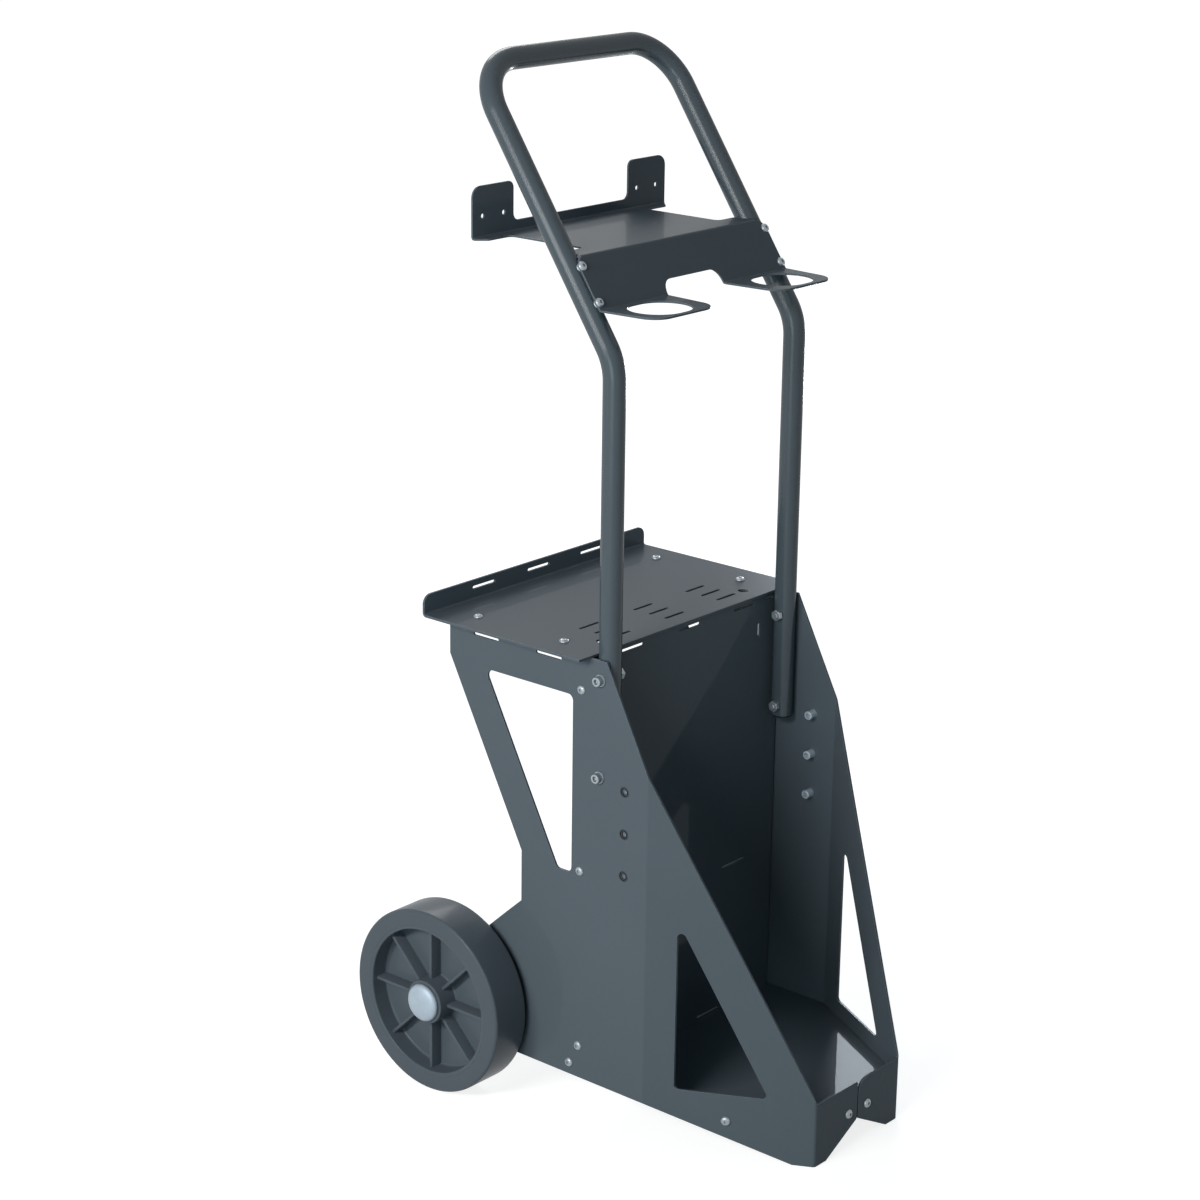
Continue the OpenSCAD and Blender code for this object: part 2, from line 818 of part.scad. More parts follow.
module floor_tray() {
    flange_y = wall_y + bay_t + side_gap;
    color(paint)
        placed()
            difference() {
                union() {
                    along_z(floor_z - bay_t, floor_z)
                        floor_plan();
                    both_sides()
                        along_y(flange_y, floor_rear_y)
                            translate([-inner_half, floor_z - bay_t])
                                square([bay_t, floor_up + bay_t]);
                    both_sides()
                        at_wing(wing_screw_y, floor_z - bay_t)
                            translate([panel_t, tray_wing_rear - tray_wing_len, -floor_down])
                                cube([bay_t, tray_wing_len, floor_down]);
                    along_y(-toe_y + panel_t, -toe_y + panel_t + bay_t)
                        translate([-floor_toe_half, floor_z - bay_t - floor_down])
                            square([2 * floor_toe_half, floor_down + bay_t]);
                }
                both_sides()
                    translate([-inner_half - over, floor_screw_y, floor_screw_z])
                        bar_x(screw_d / 2 + hole_gap, bay_t + 2 * over);
                both_sides()
                    at_wing(wing_screw_y, wing_screw_z)
                        bar_x(screw_d / 2 + hole_gap, panel_t + bay_t + over);
                both_sides()
                    translate([-toe_screw_x, -toe_y, toe_screw_z])
                        bar_y(screw_d / 2 + hole_gap, panel_t + bay_t + over);
            }
}

// Handle
// Moves a shape to the elbow, with Z along the leaning handle
module at_lean() {
    translate([0, -tube_y, elbow_z])
        rotate([-lean, 0, 0])
            children();
}

// Cross-section of the tube; in a bend the wall is drawn in on both faces
module tube_ring(draw) {
    difference() {
        circle(r = tube_r - draw, $fn = 32);
        circle(r = tube_r - tube_wall + draw, $fn = 32);
    }
}

// A bend of the tube from the X axis turning by an angle, centre at the origin
module tube_bend(r, angle) {
    lap = bend_lap / r * 180 / PI;
    rotate([0, 0, -lap])
        rotate_extrude(angle = angle + 2 * lap, $fn = 48)
            translate([r, 0])
                tube_ring(bend_draw);
}

// Straight legs, elbows, leaning legs, grip bends and the grip bar
module tube_run() {
    for (side = [-1, 1]) {
        translate([side * tube_x, -tube_y, tube_low_z])
            linear_extrude(elbow_z - elbow_leg - tube_low_z)
                tube_ring(0);
        translate([side * tube_x, elbow_r - tube_y, elbow_z - elbow_leg])
            rotate([90, 0, -90])
                tube_bend(elbow_r, lean);
        at_lean() {
            translate([side * tube_x, 0, elbow_leg])
                linear_extrude(upper_len - grip_r - elbow_leg)
                    tube_ring(0);
            translate([side * (tube_x - grip_r), 0, upper_len - grip_r])
                rotate([90, 0, 0])
                    rotate([0, 0, 45 - side * 45])
                        tube_bend(grip_r, 90);
        }
    }
    at_lean()
        translate([grip_r - tube_x, 0, upper_len])
            rotate([0, 90, 0])
                linear_extrude(2 * (tube_x - grip_r))
                    tube_ring(0);
}

// Places a shape on the front face of the sloping plate, with Z out of it
module at_plate(x, z) {
    translate([x, plate_y(z), z])
        rotate([90 - lean, 0, 0])
            children();
}

module handle_tube() {
    color(paint)
        placed()
            difference() {
                tube_run();
                both_sides()
                    for (z = [bolt_high_z, bolt_low_z])
                        translate([tube_x - tube_r - over, -tube_y, z])
                            bar_x(bolt_d / 2 + hole_gap, tube_d + 2 * over);
                both_sides()
                    for (z = hanger_screw_zs)
                        at_plate(tube_x, z)
                            translate([0, 0, -plate_off])
                                cylinder(r = insert_r + thread_gap, h = tube_r + over);
            }
}

module tube_plugs() {
    color(plug_black)
        placed()
            both_sides()
                translate([tube_x, -tube_y, tube_low_z - plug_flange]) {
                    cylinder(r = tube_r, h = plug_flange);
                    cylinder(r = tube_r - tube_wall - seat_gap, h = plug_flange + plug_len);
                }
}

// Torch hanger
module hanger_sheet() {
    low = [plate_y(ring_z), ring_z];
    high = [plate_y(hanger_z), hanger_z];
    along_x(-ear_x, ear_x)
        polygon(folded([
            [ear_y, hanger_z + ear_h],
            [ear_y, hanger_z],
            high,
            low,
            [-ring_y, ring_z]
        ], hanger_t, fold_r));
}

// Plan of the hanger from above
module hanger_plan() {
    fold_y = plate_y(hanger_z);
    tab_y = fold_y + plate_bend;
    low_y = plate_y(ring_z);
    shoulder_x = tube_x - tube_r - side_gap;
    right = rounded([
        [notch_half, low_y - fold_r],
        [notch_half + ring_taper, -ring_y],
        [plate_x - ring_taper, -ring_y],
        [plate_x, low_y - fold_r],
        [plate_x, tab_y],
        [shoulder_x, tab_y + tube_r],
        [shoulder_x, fold_y + shoulder_d],
        [neck_half, fold_y + shoulder_d],
        [neck_half, strip_y],
        [ear_x - strip_d, strip_y],
        [ear_x, ear_y],
        [ear_x, ear_y + hanger_t + over]
    ], [0, ring_corner_r, ring_corner_r, 0, 0, 0, shoulder_r, neck_r, neck_r, rim_corner_r, 0, 0]);
    left = [for (i = [len(right) - 1:-1:0]) [-right[i][0], right[i][1]]];
    polygon(concat(right, left));
}

module ring_hole() {
    for (side = [-1, 1])
        translate([ring_x + side * ring_hole_flat / 2, -ring_mid_y])
            circle(r = ring_hole_r);
    translate([ring_x, -ring_mid_y])
        square([ring_hole_flat, 2 * ring_hole_r], center = true);
}

// What is cut away in front view: above the rim, round the ears, the notch
module hanger_front_cuts() {
    ear_top = hanger_z + ear_h;
    rim_top = hanger_z + rim_h;
    ear_in = ear_x - ear_w;
    along_y(strip_y, ear_y + hanger_t + over)
        polygon(rounded([
            [-ear_in, rim_top],
            [ear_in, rim_top],
            [ear_in, ear_top + over],
            [-ear_in, ear_top + over]
        ], [ear_slope_r, ear_slope_r, 0, 0]));
    along_y(strip_y, ear_y + hanger_t + over)
        both_sides() {
            translate([ear_x, ear_top])
                rotate([0, 0, 180])
                    corner_2d(ear_r);
            translate([ear_in, ear_top])
                rotate([0, 0, -90])
                    corner_2d(ear_slope_r);
        }
    along_y(plate_y(ring_z) - fold_r - over, plate_y(hanger_z) + over)
        polygon(rounded([
            [-notch_half, ring_z - hanger_t - over],
            [notch_half, ring_z - hanger_t - over],
            [notch_half, ring_z + notch_h],
            [-notch_half, ring_z + notch_h]
        ], [0, 0, notch_r, notch_r]));
    both_sides()
        along_y(plate_y(ring_z), plate_y(hanger_z) + over)
            translate([plate_x, hanger_z])
                rotate([0, 0, 180])
                    corner_2d(plate_r);
}

module torch_hanger() {
    color(paint)
        placed()
            difference() {
                intersection() {
                    hanger_sheet();
                    along_z(ring_z - hanger_t - over, hanger_z + ear_h + over)
                        hanger_plan();
                }
                hanger_front_cuts();
                both_sides()
                    at_plate(tube_x, hanger_z)
                        translate([0, -tube_d, -plate_off])
                            bar_y(tube_r + side_gap / 2, 2 * tube_d);
                both_sides()
                    along_z(ring_z - hanger_t - over, ring_z + over)
                        ring_hole();
                both_sides()
                    for (x = ear_hole_xs)
                        translate([x, ear_y - over, hanger_z + ear_hole_h])
                            bar_y(ear_hole_d / 2, hanger_t + 2 * over);
                both_sides()
                    for (z = hanger_screw_zs)
                        at_plate(tube_x, z)
                            translate([0, 0, -hanger_t - over])
                                cylinder(r = screw_d / 2 + hole_gap, h = hanger_t + 2 * over);
            }
}

// Axle and wheels
module at_axle() {
    translate([0, axle_y, axle_z])
        children();
}

module axle() {
    color(zinc)
        placed()
            at_axle()
                translate([-axle_end_x, 0, 0])
                    bar_x(axle_d / 2, 2 * axle_end_x);
}

module axle_washers() {
    color(zinc)
        placed()
            at_axle()
                both_sides()
                    translate([half, 0, 0])
                        difference() {
                            bar_x(washer_r, washer_t);
                            translate([-over, 0, 0])
                                bar_x(axle_d / 2 + seat_gap, washer_t + 2 * over);
                        }
}

// Cap on the axle end: a brim that grips the axle and a hollow dome
module axle_cap() {
    bore_r = axle_d / 2 + thread_gap;
    dome_h = cap_h - cap_brim_t;
    ball_r = (cap_r * cap_r + dome_h * dome_h) / 2 / dome_h;
    rim_a = asin(cap_r / ball_r);
    translate([cap_in_x, 0, 0])
        rotate([0, 90, 0])
            rotate_extrude()
                polygon(concat(
                    [[bore_r, 0], [cap_r, 0]],
                    arc([0, cap_h - ball_r], ball_r, 90 - rim_a, 90, curve_steps / 2),
                    [[0, cap_h - cap_wall], [bore_r, cap_h - cap_wall]]
                ));
}

module axle_cap_right() {
    color(zinc)
        placed()
            at_axle()
                axle_cap();
}

module axle_cap_left() {
    color(zinc)
        placed()
            at_axle()
                mirror([1, 0, 0])
                    axle_cap();
}

// Rim: hub, disc, ribs on both sides and the barrel that carries the tyre
module wheel_rim() {
    rib_x0 = tyre_in_x + rib_sink;
    rib_len = tyre_w - 2 * rib_sink;
    barrel_in = rim_r - rim_wall;
    difference() {
        union() {
            translate([hub_in_x, 0, 0])
                bar_x(hub_r, hub_out_x - hub_in_x);
            translate([wheel_mid_x - disc_t / 2, 0, 0])
                bar_x(rim_r - rim_wall / 2, disc_t);
            difference() {
                translate([tyre_in_x + rim_edge, 0, 0])
                    bar_x(rim_r - seat_gap, tyre_w - 2 * rim_edge);
                translate([tyre_in_x - over, 0, 0])
                    bar_x(barrel_in, tyre_w + 2 * over);
            }
            for (k = [0:rib_n - 1])
                rotate([k * 360 / rib_n, 0, 0])
                    translate([rib_x0, -rib_t / 2, hub_r - rim_wall])
                        cube([rib_len, rib_t, barrel_in - hub_r + 1.5 * rim_wall]);
        }
        translate([hub_in_x - over, 0, 0])
            bar_x(bush_r + seat_gap, hub_out_x - hub_in_x + 2 * over);
    }
}

module tyre() {
    shoulder = min(tyre_r, tyre_h / 2);
    outer = wheel_d / 2;
    translate([tyre_in_x, 0, 0])
        rotate([0, 90, 0])
            rotate_extrude($fn = 128)
                polygon(concat(
                    [[rim_r, 0]],
                    arc([outer - shoulder, shoulder], shoulder, -90, 0, fold_steps),
                    arc([outer - shoulder, tyre_w - shoulder], shoulder, 0, 90, fold_steps),
                    [[rim_r, tyre_w]]
                ));
}

module hub_bush() {
    translate([hub_in_x, 0, 0])
        difference() {
            bar_x(bush_r, hub_out_x - hub_in_x);
            translate([-over, 0, 0])
                bar_x(axle_d / 2 + run_gap, hub_out_x - hub_in_x + 2 * over);
        }
}

module wheel_rim_right() {
    color(tread_grey)
        placed()
            at_axle()
                wheel_rim();
}

module wheel_rim_left() {
    color(tread_grey)
        placed()
            at_axle()
                mirror([1, 0, 0])
                    wheel_rim();
}

module tyre_right() {
    color(tread_grey)
        placed()
            at_axle()
                tyre();
}

module tyre_left() {
    color(tread_grey)
        placed()
            at_axle()
                mirror([1, 0, 0])
                    tyre();
}

module hub_bush_right() {
    color(bush_white)
        placed()
            at_axle()
                hub_bush();
}

module hub_bush_left() {
    color(bush_white)
        placed()
            at_axle()
                mirror([1, 0, 0])
                    hub_bush();
}

// Fasteners
// A button screw: its head stands on the face at the origin, its shank goes down Z
module button_screw(grip) {
    crown = button_h / 3;
    difference() {
        union() {
            cylinder(d = button_d, h = crown);
            translate([0, 0, crown])
                cylinder(d1 = button_d, d2 = button_d * 0.55, h = button_h - crown);
            translate([0, 0, -grip])
                cylinder(d = screw_d, h = grip);
        }
        translate([0, 0, crown])
            cylinder(d = screw_d * 0.7, h = button_h, $fn = 6);
    }
}

// A hex nut that hangs down Z from the face at the origin
module hex_nut(af, h, d) {
    translate([0, 0, -h])
        difference() {
            cylinder(d = af / cos(30), h = h, $fn = 6);
            translate([0, 0, -over])
                cylinder(d = d + 2 * thread_gap, h = h + 2 * over);
        }
}

// Length of a screw that ends one thread past its nut
function screw_len(stack) = stack + nut_h + thread_past;

// Places a screw on the left panel's outer face, with Z out of it
module on_panel(y, z) {
    translate([-half, y, z])
        rotate([0, -90, 0])
            children();
}

module on_wing() {
    at_wing(wing_screw_y, wing_screw_z)
        rotate([0, -90, 0])
            children();
}

module at_shelf_screws() {
    both_sides()
        for (y = shelf_screw_ys)
            translate([shelf_screw_x, y, shelf_z])
                children();
}

module shelf_screws() {
    color(zinc)
        placed()
            at_shelf_screws()
                button_screw(screw_len(shelf_t + panel_t));
}

module shelf_nuts() {
    color(zinc)
        placed()
            at_shelf_screws()
                translate([0, 0, -shelf_t - panel_t])
                    hex_nut(nut_af, nut_h, screw_d);
}

module at_handle_bolts() {
    both_sides()
        for (z = [bolt_high_z, bolt_low_z])
            on_panel(-tube_y, z)
                children();
}

module handle_bolts() {
    stack = bolt_washer_t + panel_t + side_gap + tube_d + bolt_nut_h + thread_past;
    color(zinc)
        placed()
            at_handle_bolts()
                translate([0, 0, bolt_washer_t])
                    difference() {
                        union() {
                            cylinder(d = cap_head_d, h = cap_head_h);
                            translate([0, 0, -stack])
                                cylinder(d = bolt_d, h = stack);
                        }
                        translate([0, 0, cap_head_h / 2])
                            cylinder(d = bolt_d * 0.95, h = cap_head_h, $fn = 6);
                    }
}

module handle_washers() {
    color(zinc)
        placed()
            at_handle_bolts()
                difference() {
                    cylinder(d = bolt_d * 2, h = bolt_washer_t);
                    translate([0, 0, -over])
                        cylinder(r = bolt_d / 2 + hole_gap, h = bolt_washer_t + 2 * over);
                }
}

module handle_nuts() {
    color(zinc)
        placed()
            at_handle_bolts()
                translate([0, 0, -panel_t - side_gap - tube_d])
                    hex_nut(bolt_nut_af, bolt_nut_h, bolt_d);
}

module at_hanger_screws() {
    both_sides()
        for (z = hanger_screw_zs)
            at_plate(tube_x, z)
                children();
}

module hanger_screws() {
    color(zinc)
        placed()
            at_hanger_screws()
                button_screw(hanger_t + insert_h);
}

// Threaded inserts set in the front wall of the tube
module hanger_inserts() {
    color(zinc)
        placed()
            at_hanger_screws()
                translate([0, 0, -hanger_t - insert_h])
                    difference() {
                        union() {
                            cylinder(r = insert_r, h = insert_h);
                            translate([0, 0, insert_len])
                                cylinder(r = insert_flange_r, h = insert_flange_t);
                        }
                        translate([0, 0, -over])
                            cylinder(r = screw_d / 2 + thread_gap, h = insert_h + 2 * over);
                    }
}

module at_wall_screws() {
    both_sides()
        for (z = wall_screw_zs)
            on_panel(wall_screw_y, z)
                children();
}

module wall_screws() {
    color(zinc)
        placed()
            at_wall_screws()
                button_screw(screw_len(panel_t + bay_t));
}

module wall_nuts() {
    color(zinc)
        placed()
            at_wall_screws()
                translate([0, 0, -panel_t - bay_t])
                    hex_nut(nut_af, nut_h, screw_d);
}

module at_floor_screws() {
    both_sides() {
        on_panel(floor_screw_y, floor_screw_z)
            children();
        on_wing()
            children();
    }
}

module floor_screws() {
    color(zinc)
        placed()
            at_floor_screws()
                button_screw(screw_len(panel_t + bay_t));
}

module floor_nuts() {
    color(zinc)
        placed()
            at_floor_screws()
                translate([0, 0, -panel_t - bay_t])
                    hex_nut(nut_af, nut_h, screw_d);
}

module at_toe_screws() {
    both_sides()
        translate([toe_screw_x, -toe_y, toe_screw_z])
            rotate([90, 0, 0])
                children();
}

module toe_screws() {
    color(zinc)
        placed()
            at_toe_screws()
                button_screw(screw_len(panel_t + bay_t));
}

module toe_nuts() {
    color(zinc)
        placed()
            at_toe_screws()
                translate([0, 0, -panel_t - bay_t])
                    hex_nut(nut_af, nut_h, screw_d);
}

module rivet_nuts() {
    for (z = rivet_zs)
        on_panel(-rivet_y, z)
            difference() {
                union() {
                    cylinder(d = rivet_flange_d, h = rivet_flange_t);
                    translate([0, 0, -panel_t - rivet_len])
                        cylinder(d = rivet_barrel_d, h = panel_t + rivet_len);
                }
                translate([0, 0, -panel_t - rivet_len - over])
                    cylinder(d = rivet_bore_d, h = panel_t + rivet_len + 2 * over);
            }
}

module rivet_nuts_left() {
    color(zinc)
        placed()
            rivet_nuts();
}

module rivet_nuts_right() {
    color(zinc)
        placed()
            mirror([1, 0, 0])
                rivet_nuts();
}

side_panel_left();
side_panel_right();
shelf_plate();
bay_wall();
floor_tray();
handle_tube();
tube_plugs();
torch_hanger();
axle();
axle_washers();
axle_cap_left();
axle_cap_right();
wheel_rim_left();
wheel_rim_right();
tyre_left();
tyre_right();
hub_bush_left();
hub_bush_right();
shelf_screws();
shelf_nuts();
handle_bolts();
handle_washers();
handle_nuts();
hanger_screws();
hanger_inserts();
wall_screws();
wall_nuts();
floor_screws();
floor_nuts();
toe_screws();
toe_nuts();
rivet_nuts_left();
rivet_nuts_right();
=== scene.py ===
"""Dresses the welding cart: folded sheet steel, a bent tube handle, a torch hanger and two moulded wheels."""

import logging
import math
from dataclasses import dataclass, field
from enum import Enum

import bmesh
import bpy
from bmesh.types import BMesh
from bpy.types import Material, Mesh, Node, NodeSocket, NodeTree, Object
from mathutils import Matrix, Vector


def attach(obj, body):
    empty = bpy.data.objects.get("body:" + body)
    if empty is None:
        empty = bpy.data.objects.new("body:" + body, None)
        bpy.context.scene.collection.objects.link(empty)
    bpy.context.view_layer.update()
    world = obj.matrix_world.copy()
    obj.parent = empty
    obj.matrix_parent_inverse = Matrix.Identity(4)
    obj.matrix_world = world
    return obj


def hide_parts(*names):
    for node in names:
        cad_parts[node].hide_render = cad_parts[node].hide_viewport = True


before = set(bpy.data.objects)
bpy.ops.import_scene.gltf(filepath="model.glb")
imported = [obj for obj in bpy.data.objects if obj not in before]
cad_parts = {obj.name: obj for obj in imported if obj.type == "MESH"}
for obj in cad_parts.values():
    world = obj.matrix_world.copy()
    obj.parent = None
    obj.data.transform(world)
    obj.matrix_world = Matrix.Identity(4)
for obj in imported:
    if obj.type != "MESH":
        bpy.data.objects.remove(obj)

log = logging.getLogger("welding_cart")

Triple = tuple[float, float, float]
Points = list[tuple[float, float]]

# Sizes that several pieces share, in millimetres, with the handle's lean in degrees

MM = 0.001
SHELF_FRONT = 21.65
PANEL_HALF = 150.4
AXLE_Y = 172.0
AXLE_Z = 97.0
TUBE_RADIUS = 11.0
LEG_X = 136.6
LEG_Y = -11.8
LEG_LOW = 362.5
ELBOW_Z = 775.4
LEAN = 34.4


def place(x: float, y: float, z: float) -> Vector:
    """Turns a place on the cart into a point of the frame.

    Args:
        x: Millimetres to the right of the middle.
        y: Millimetres behind the shelf's front edge.
        z: Millimetres above the ground.

    Returns:
        The point in metres.
    """
    return Vector((x, y - SHELF_FRONT, z)) * MM


# Node graphs


class Graph:
    """A node tree that is filled by one method."""

    def __init__(self, tree: NodeTree) -> None:
        """Keeps the tree that the nodes go into."""
        self.tree = tree

    def node(self, kind: str, sockets: dict | None = None, **settings: object) -> Node:
        """Adds a node.

        Args:
            kind: The node's type name.
            sockets: Values or links by the socket's name or number.
            settings: Properties that are set before its sockets.

        Returns:
            The node.
        """
        made = self.tree.nodes.new(kind)
        for key, value in settings.items():
            setattr(made, key, value)
        for key, value in (sockets or {}).items():
            source = value.socket if isinstance(value, Wire) else value
            if isinstance(source, NodeSocket):
                self.tree.links.new(source, made.inputs[key])
            else:
                made.inputs[key].default_value = source
        return made


class Wire:
    """A number socket that takes part in sums written in Python."""

    def __init__(self, graph: Graph, socket: NodeSocket) -> None:
        """Wraps a socket of that graph."""
        self.graph = graph
        self.socket = socket

    def _math(self, operation: str, *values: "Wire | float") -> "Wire":
        """Adds one Math node that reads these values and wraps what comes out of it."""
        made = self.graph.node("ShaderNodeMath", dict(enumerate(values)), operation=operation)
        return Wire(self.graph, made.outputs[0])

    def sine(self) -> "Wire":
        """Gives the sine of this angle."""
        return self._math("SINE", self)

    def __abs__(self) -> "Wire":
        """Gives the number without its sign."""
        return self._math("ABSOLUTE", self)

    def __add__(self, other: "Wire | float") -> "Wire":
        """Gives self + other."""
        return self._math("ADD", self, other)

    def __radd__(self, other: float) -> "Wire":
        """Gives other + self."""
        return self._math("ADD", other, self)

    def __sub__(self, other: "Wire | float") -> "Wire":
        """Gives self - other."""
        return self._math("SUBTRACT", self, other)

    def __rsub__(self, other: float) -> "Wire":
        """Gives other - self."""
        return self._math("SUBTRACT", other, self)

    def __mul__(self, other: "Wire | float") -> "Wire":
        """Gives self * other."""
        return self._math("MULTIPLY", self, other)

    def __rmul__(self, other: float) -> "Wire":
        """Gives other * self."""
        return self._math("MULTIPLY", other, self)

    def __truediv__(self, other: "Wire | float") -> "Wire":
        """Gives self / other."""
        return self._math("DIVIDE", self, other)

    def __rtruediv__(self, other: float) -> "Wire":
        """Gives other / self."""
        return self._math("DIVIDE", other, self)


class Shader(Graph):
    """A material with one surface."""

    def __init__(self, name: str) -> None:
        """Makes an empty material.

        Args:
            name: The material's name.
        """
        self.material = bpy.data.materials.new(name)
        self.material.use_nodes = True
        super().__init__(self.material.node_tree)
        self.tree.nodes.clear()

    def where(self, shift: tuple = (0, 0, 0), scale: tuple = (1, 1, 1)) -> NodeSocket:
        """Gives Object coordinates, stretched and moved.

        Args:
            shift: What is added to the place, in metres.
            scale: What the place is multiplied by first.

        Returns:
            The vector socket.
        """
        source = self.node("ShaderNodeTexCoord").outputs["Object"]
        sockets = {"Vector": source, "Location": shift, "Scale": scale}
        return self.node("ShaderNodeMapping", sockets).outputs[0]

    def noise(self, where: NodeSocket, scale: float, detail: float = 2.0) -> Wire:
        """Gives noise about 0.

        Args:
            where: The coordinates it reads.
            scale: Waves for each metre.
            detail: How many finer layers it has.

        Returns:
            The noise, from -0.5 to 0.5.
        """
        made = self.node("ShaderNodeTexNoise", {"Vector": where, "Scale": scale, "Detail": detail})
        return Wire(self, made.outputs[0]) - 0.5

    def spots(self, where: NodeSocket, scale: float, low: float, high: float) -> Wire:
        """Gives 1 in small scattered spots and 0 between them.

        Args:
            where: The coordinates it reads.
            scale: Cells for each metre.
            low: Distance from a cell's middle where a spot is full.
            high: Distance where it ends.

        Returns:
            The mask.
        """
        cells = self.node("ShaderNodeTexVoronoi", {"Vector": where, "Scale": scale})
        return self.step(Wire(self, cells.outputs["Distance"]), high, low)

    def step(self, value: Wire, low: float, high: float) -> Wire:
        """Gives 0 at low, 1 at high and a smooth change between them.

        Args:
            value: The value that is read.
            low: Where the mask is 0.
            high: Where the mask is 1.

        Returns:
            The mask.
        """
        sockets = {"Value": value, "From Min": low, "From Max": high}
        made = self.node("ShaderNodeMapRange", sockets, interpolation_type="SMOOTHSTEP")
        return Wire(self, made.outputs[0])

    def attribute(self, name: str) -> Wire:
        """Gives a number that the mesh holds under that name."""
        made = self.node("ShaderNodeAttribute", attribute_name=name)
        return Wire(self, made.outputs["Fac"])

    def length(self, vector: NodeSocket) -> Wire:
        """Gives the length of a vector."""
        made = self.node("ShaderNodeVectorMath", {0: vector}, operation="LENGTH")
        return Wire(self, made.outputs["Value"])

    def from_axle(self) -> Wire:
        """Gives the distance from the wheels' axis in metres."""
        axle = place(0, AXLE_Y, AXLE_Z)
        return self.length(self.where(shift=(0, -axle.y, -axle.z), scale=(0, 1, 1)))

    def outside(self, half: float) -> Wire:
        """Gives 1 where the surface lies farther than half from the cart's middle, and 0 inside."""
        across = self.node("ShaderNodeSeparateXYZ", {0: self.where()}).outputs[0]
        return self.step(abs(Wire(self, across)), half - 0.4 * MM, half - 0.1 * MM)

    def tint(self, colour: tuple, tone: Wire) -> NodeSocket:
        """Gives a colour times a number."""
        made = self.node("ShaderNodeVectorMath", {0: colour, "Scale": tone}, operation="SCALE")
        return made.outputs[0]

    def mix(self, share: "Wire | float", first: object, second: object) -> NodeSocket:
        """Mixes two colours.

        Args:
            share: How much of the second.
            first: A colour or a socket.
            second: A colour or a socket.

        Returns:
            The colour socket.
        """
        colours = [c if isinstance(c, NodeSocket) else (*c, 1) for c in (first, second)]
        made = self.node("ShaderNodeMix", {0: share, 6: colours[0], 7: colours[1]}, data_type="RGBA")
        return made.outputs[2]

    def bump(self, height: Wire, depth: float, strength: float = 1.0) -> NodeSocket:
        """Gives a normal from a height.

        Args:
            height: The height, over a range of about 1.
            depth: What a height of 1 means, in metres.
            strength: How much of it shows.

        Returns:
            The normal socket.
        """
        made = self.node("ShaderNodeBump", {"Height": height, "Distance": depth, "Strength": strength})
        return made.outputs[0]

    def end(self, surface: Node) -> Material:
        """Ends the material in that surface."""
        self.node("ShaderNodeOutputMaterial", {"Surface": surface.outputs[0]})
        return self.material

    def surface(self, sockets: dict) -> Material:
        """Ends the material in a Principled surface with these sockets."""
        return self.end(self.node("ShaderNodeBsdfPrincipled", sockets))


RAYS = ("Camera", "Glossy", "Transmission")


def seen(graph: Graph) -> Wire:
    """Tells what the camera sees, straight, mirrored or through glass, from what lights the cart.

    Args:
        graph: The graph that asks.

    Returns:
        1 on the rays that the camera sees and 0 on the others.
    """
    path = graph.node("ShaderNodeLightPath").outputs
    camera, glossy, through = (Wire(graph, path[f"Is {ray} Ray"]) for ray in RAYS)
    return camera + glossy + through


# Finishes


@dataclass(frozen=True)
class Finish:
    """A finish of one of the cart's materials.

    Attributes:
        slot: The record's slot that it fills.
        colour: Its colour, linear.
        roughness: Its middle roughness.
    """

    slot: str
    colour: Triple
    roughness: float

    def material(self) -> Material:
        """Makes the finish as a material."""
        raise NotImplementedError(self.slot)


@dataclass(frozen=True)
class PowderCoat(Finish):
    """Smooth powder coat on steel: a fine orange peel under a thin gloss, with lighter edges that stand
    partly for a thin, worn coat and partly for a painted highlight.

    Attributes:
        coat: Weight of the gloss.
        gloss: Roughness of the gloss.
        peel: Strength of the orange peel.
        peel_depth: Depth of the orange peel in metres.
        sheen: Specular level of the coat's own colour.
        dust_and_edge_highlight_colour: Colour of dust spots, and of the edges, where it is partly a thin,
            worn coat and partly a painted highlight.
        edge_highlight_share: How much of that colour shows on the edges.
    """

    coat: float = 0.11
    gloss: float = 0.04
    peel: float = 0.3
    peel_depth: float = 0.00003
    sheen: float = 0.025
    dust_and_edge_highlight_colour: Triple = (0.2, 0.22, 0.245)
    edge_highlight_share: float = 0.5

    def material(self) -> Material:
        """Makes the finish as a material.

        Returns:
            The material.
        """
        shader = Shader(self.slot)
        where = shader.where()
        cloud = shader.noise(where, 6.0, 3.0)
        grain = shader.noise(where, 260.0, 3.0)
        peel = shader.noise(where, 1100.0, 1.0)
        dust = shader.spots(where, 190.0, 0.03, 0.07)
        edge = shader.attribute("edge")
        # Edges painted lighter: partly wear of the thin coat there, partly a painted highlight along the
        # rounded edges.
        rub_and_highlight = edge * (1.0 + shader.noise(where, 90.0) * 0.9)
        coat = shader.tint(self.colour, 1.0 + cloud * 0.16 + grain * 0.07)
        dusty = shader.mix(dust * 0.25, coat, self.dust_and_edge_highlight_colour)
        sockets = {
            "Base Color": shader.mix(rub_and_highlight * self.edge_highlight_share, dusty, self.dust_and_edge_highlight_colour),
            "Roughness": self.roughness + cloud * 0.1 + grain * 0.08 + dust * 0.12 - edge * 0.06,
            "Specular IOR Level": self.sheen,
            "Coat Weight": self.coat,
            "Coat Roughness": self.gloss,
            "Normal": shader.bump(peel * 0.6 + grain * 0.4, self.peel_depth, self.peel),
        }
        return shader.surface(sockets)


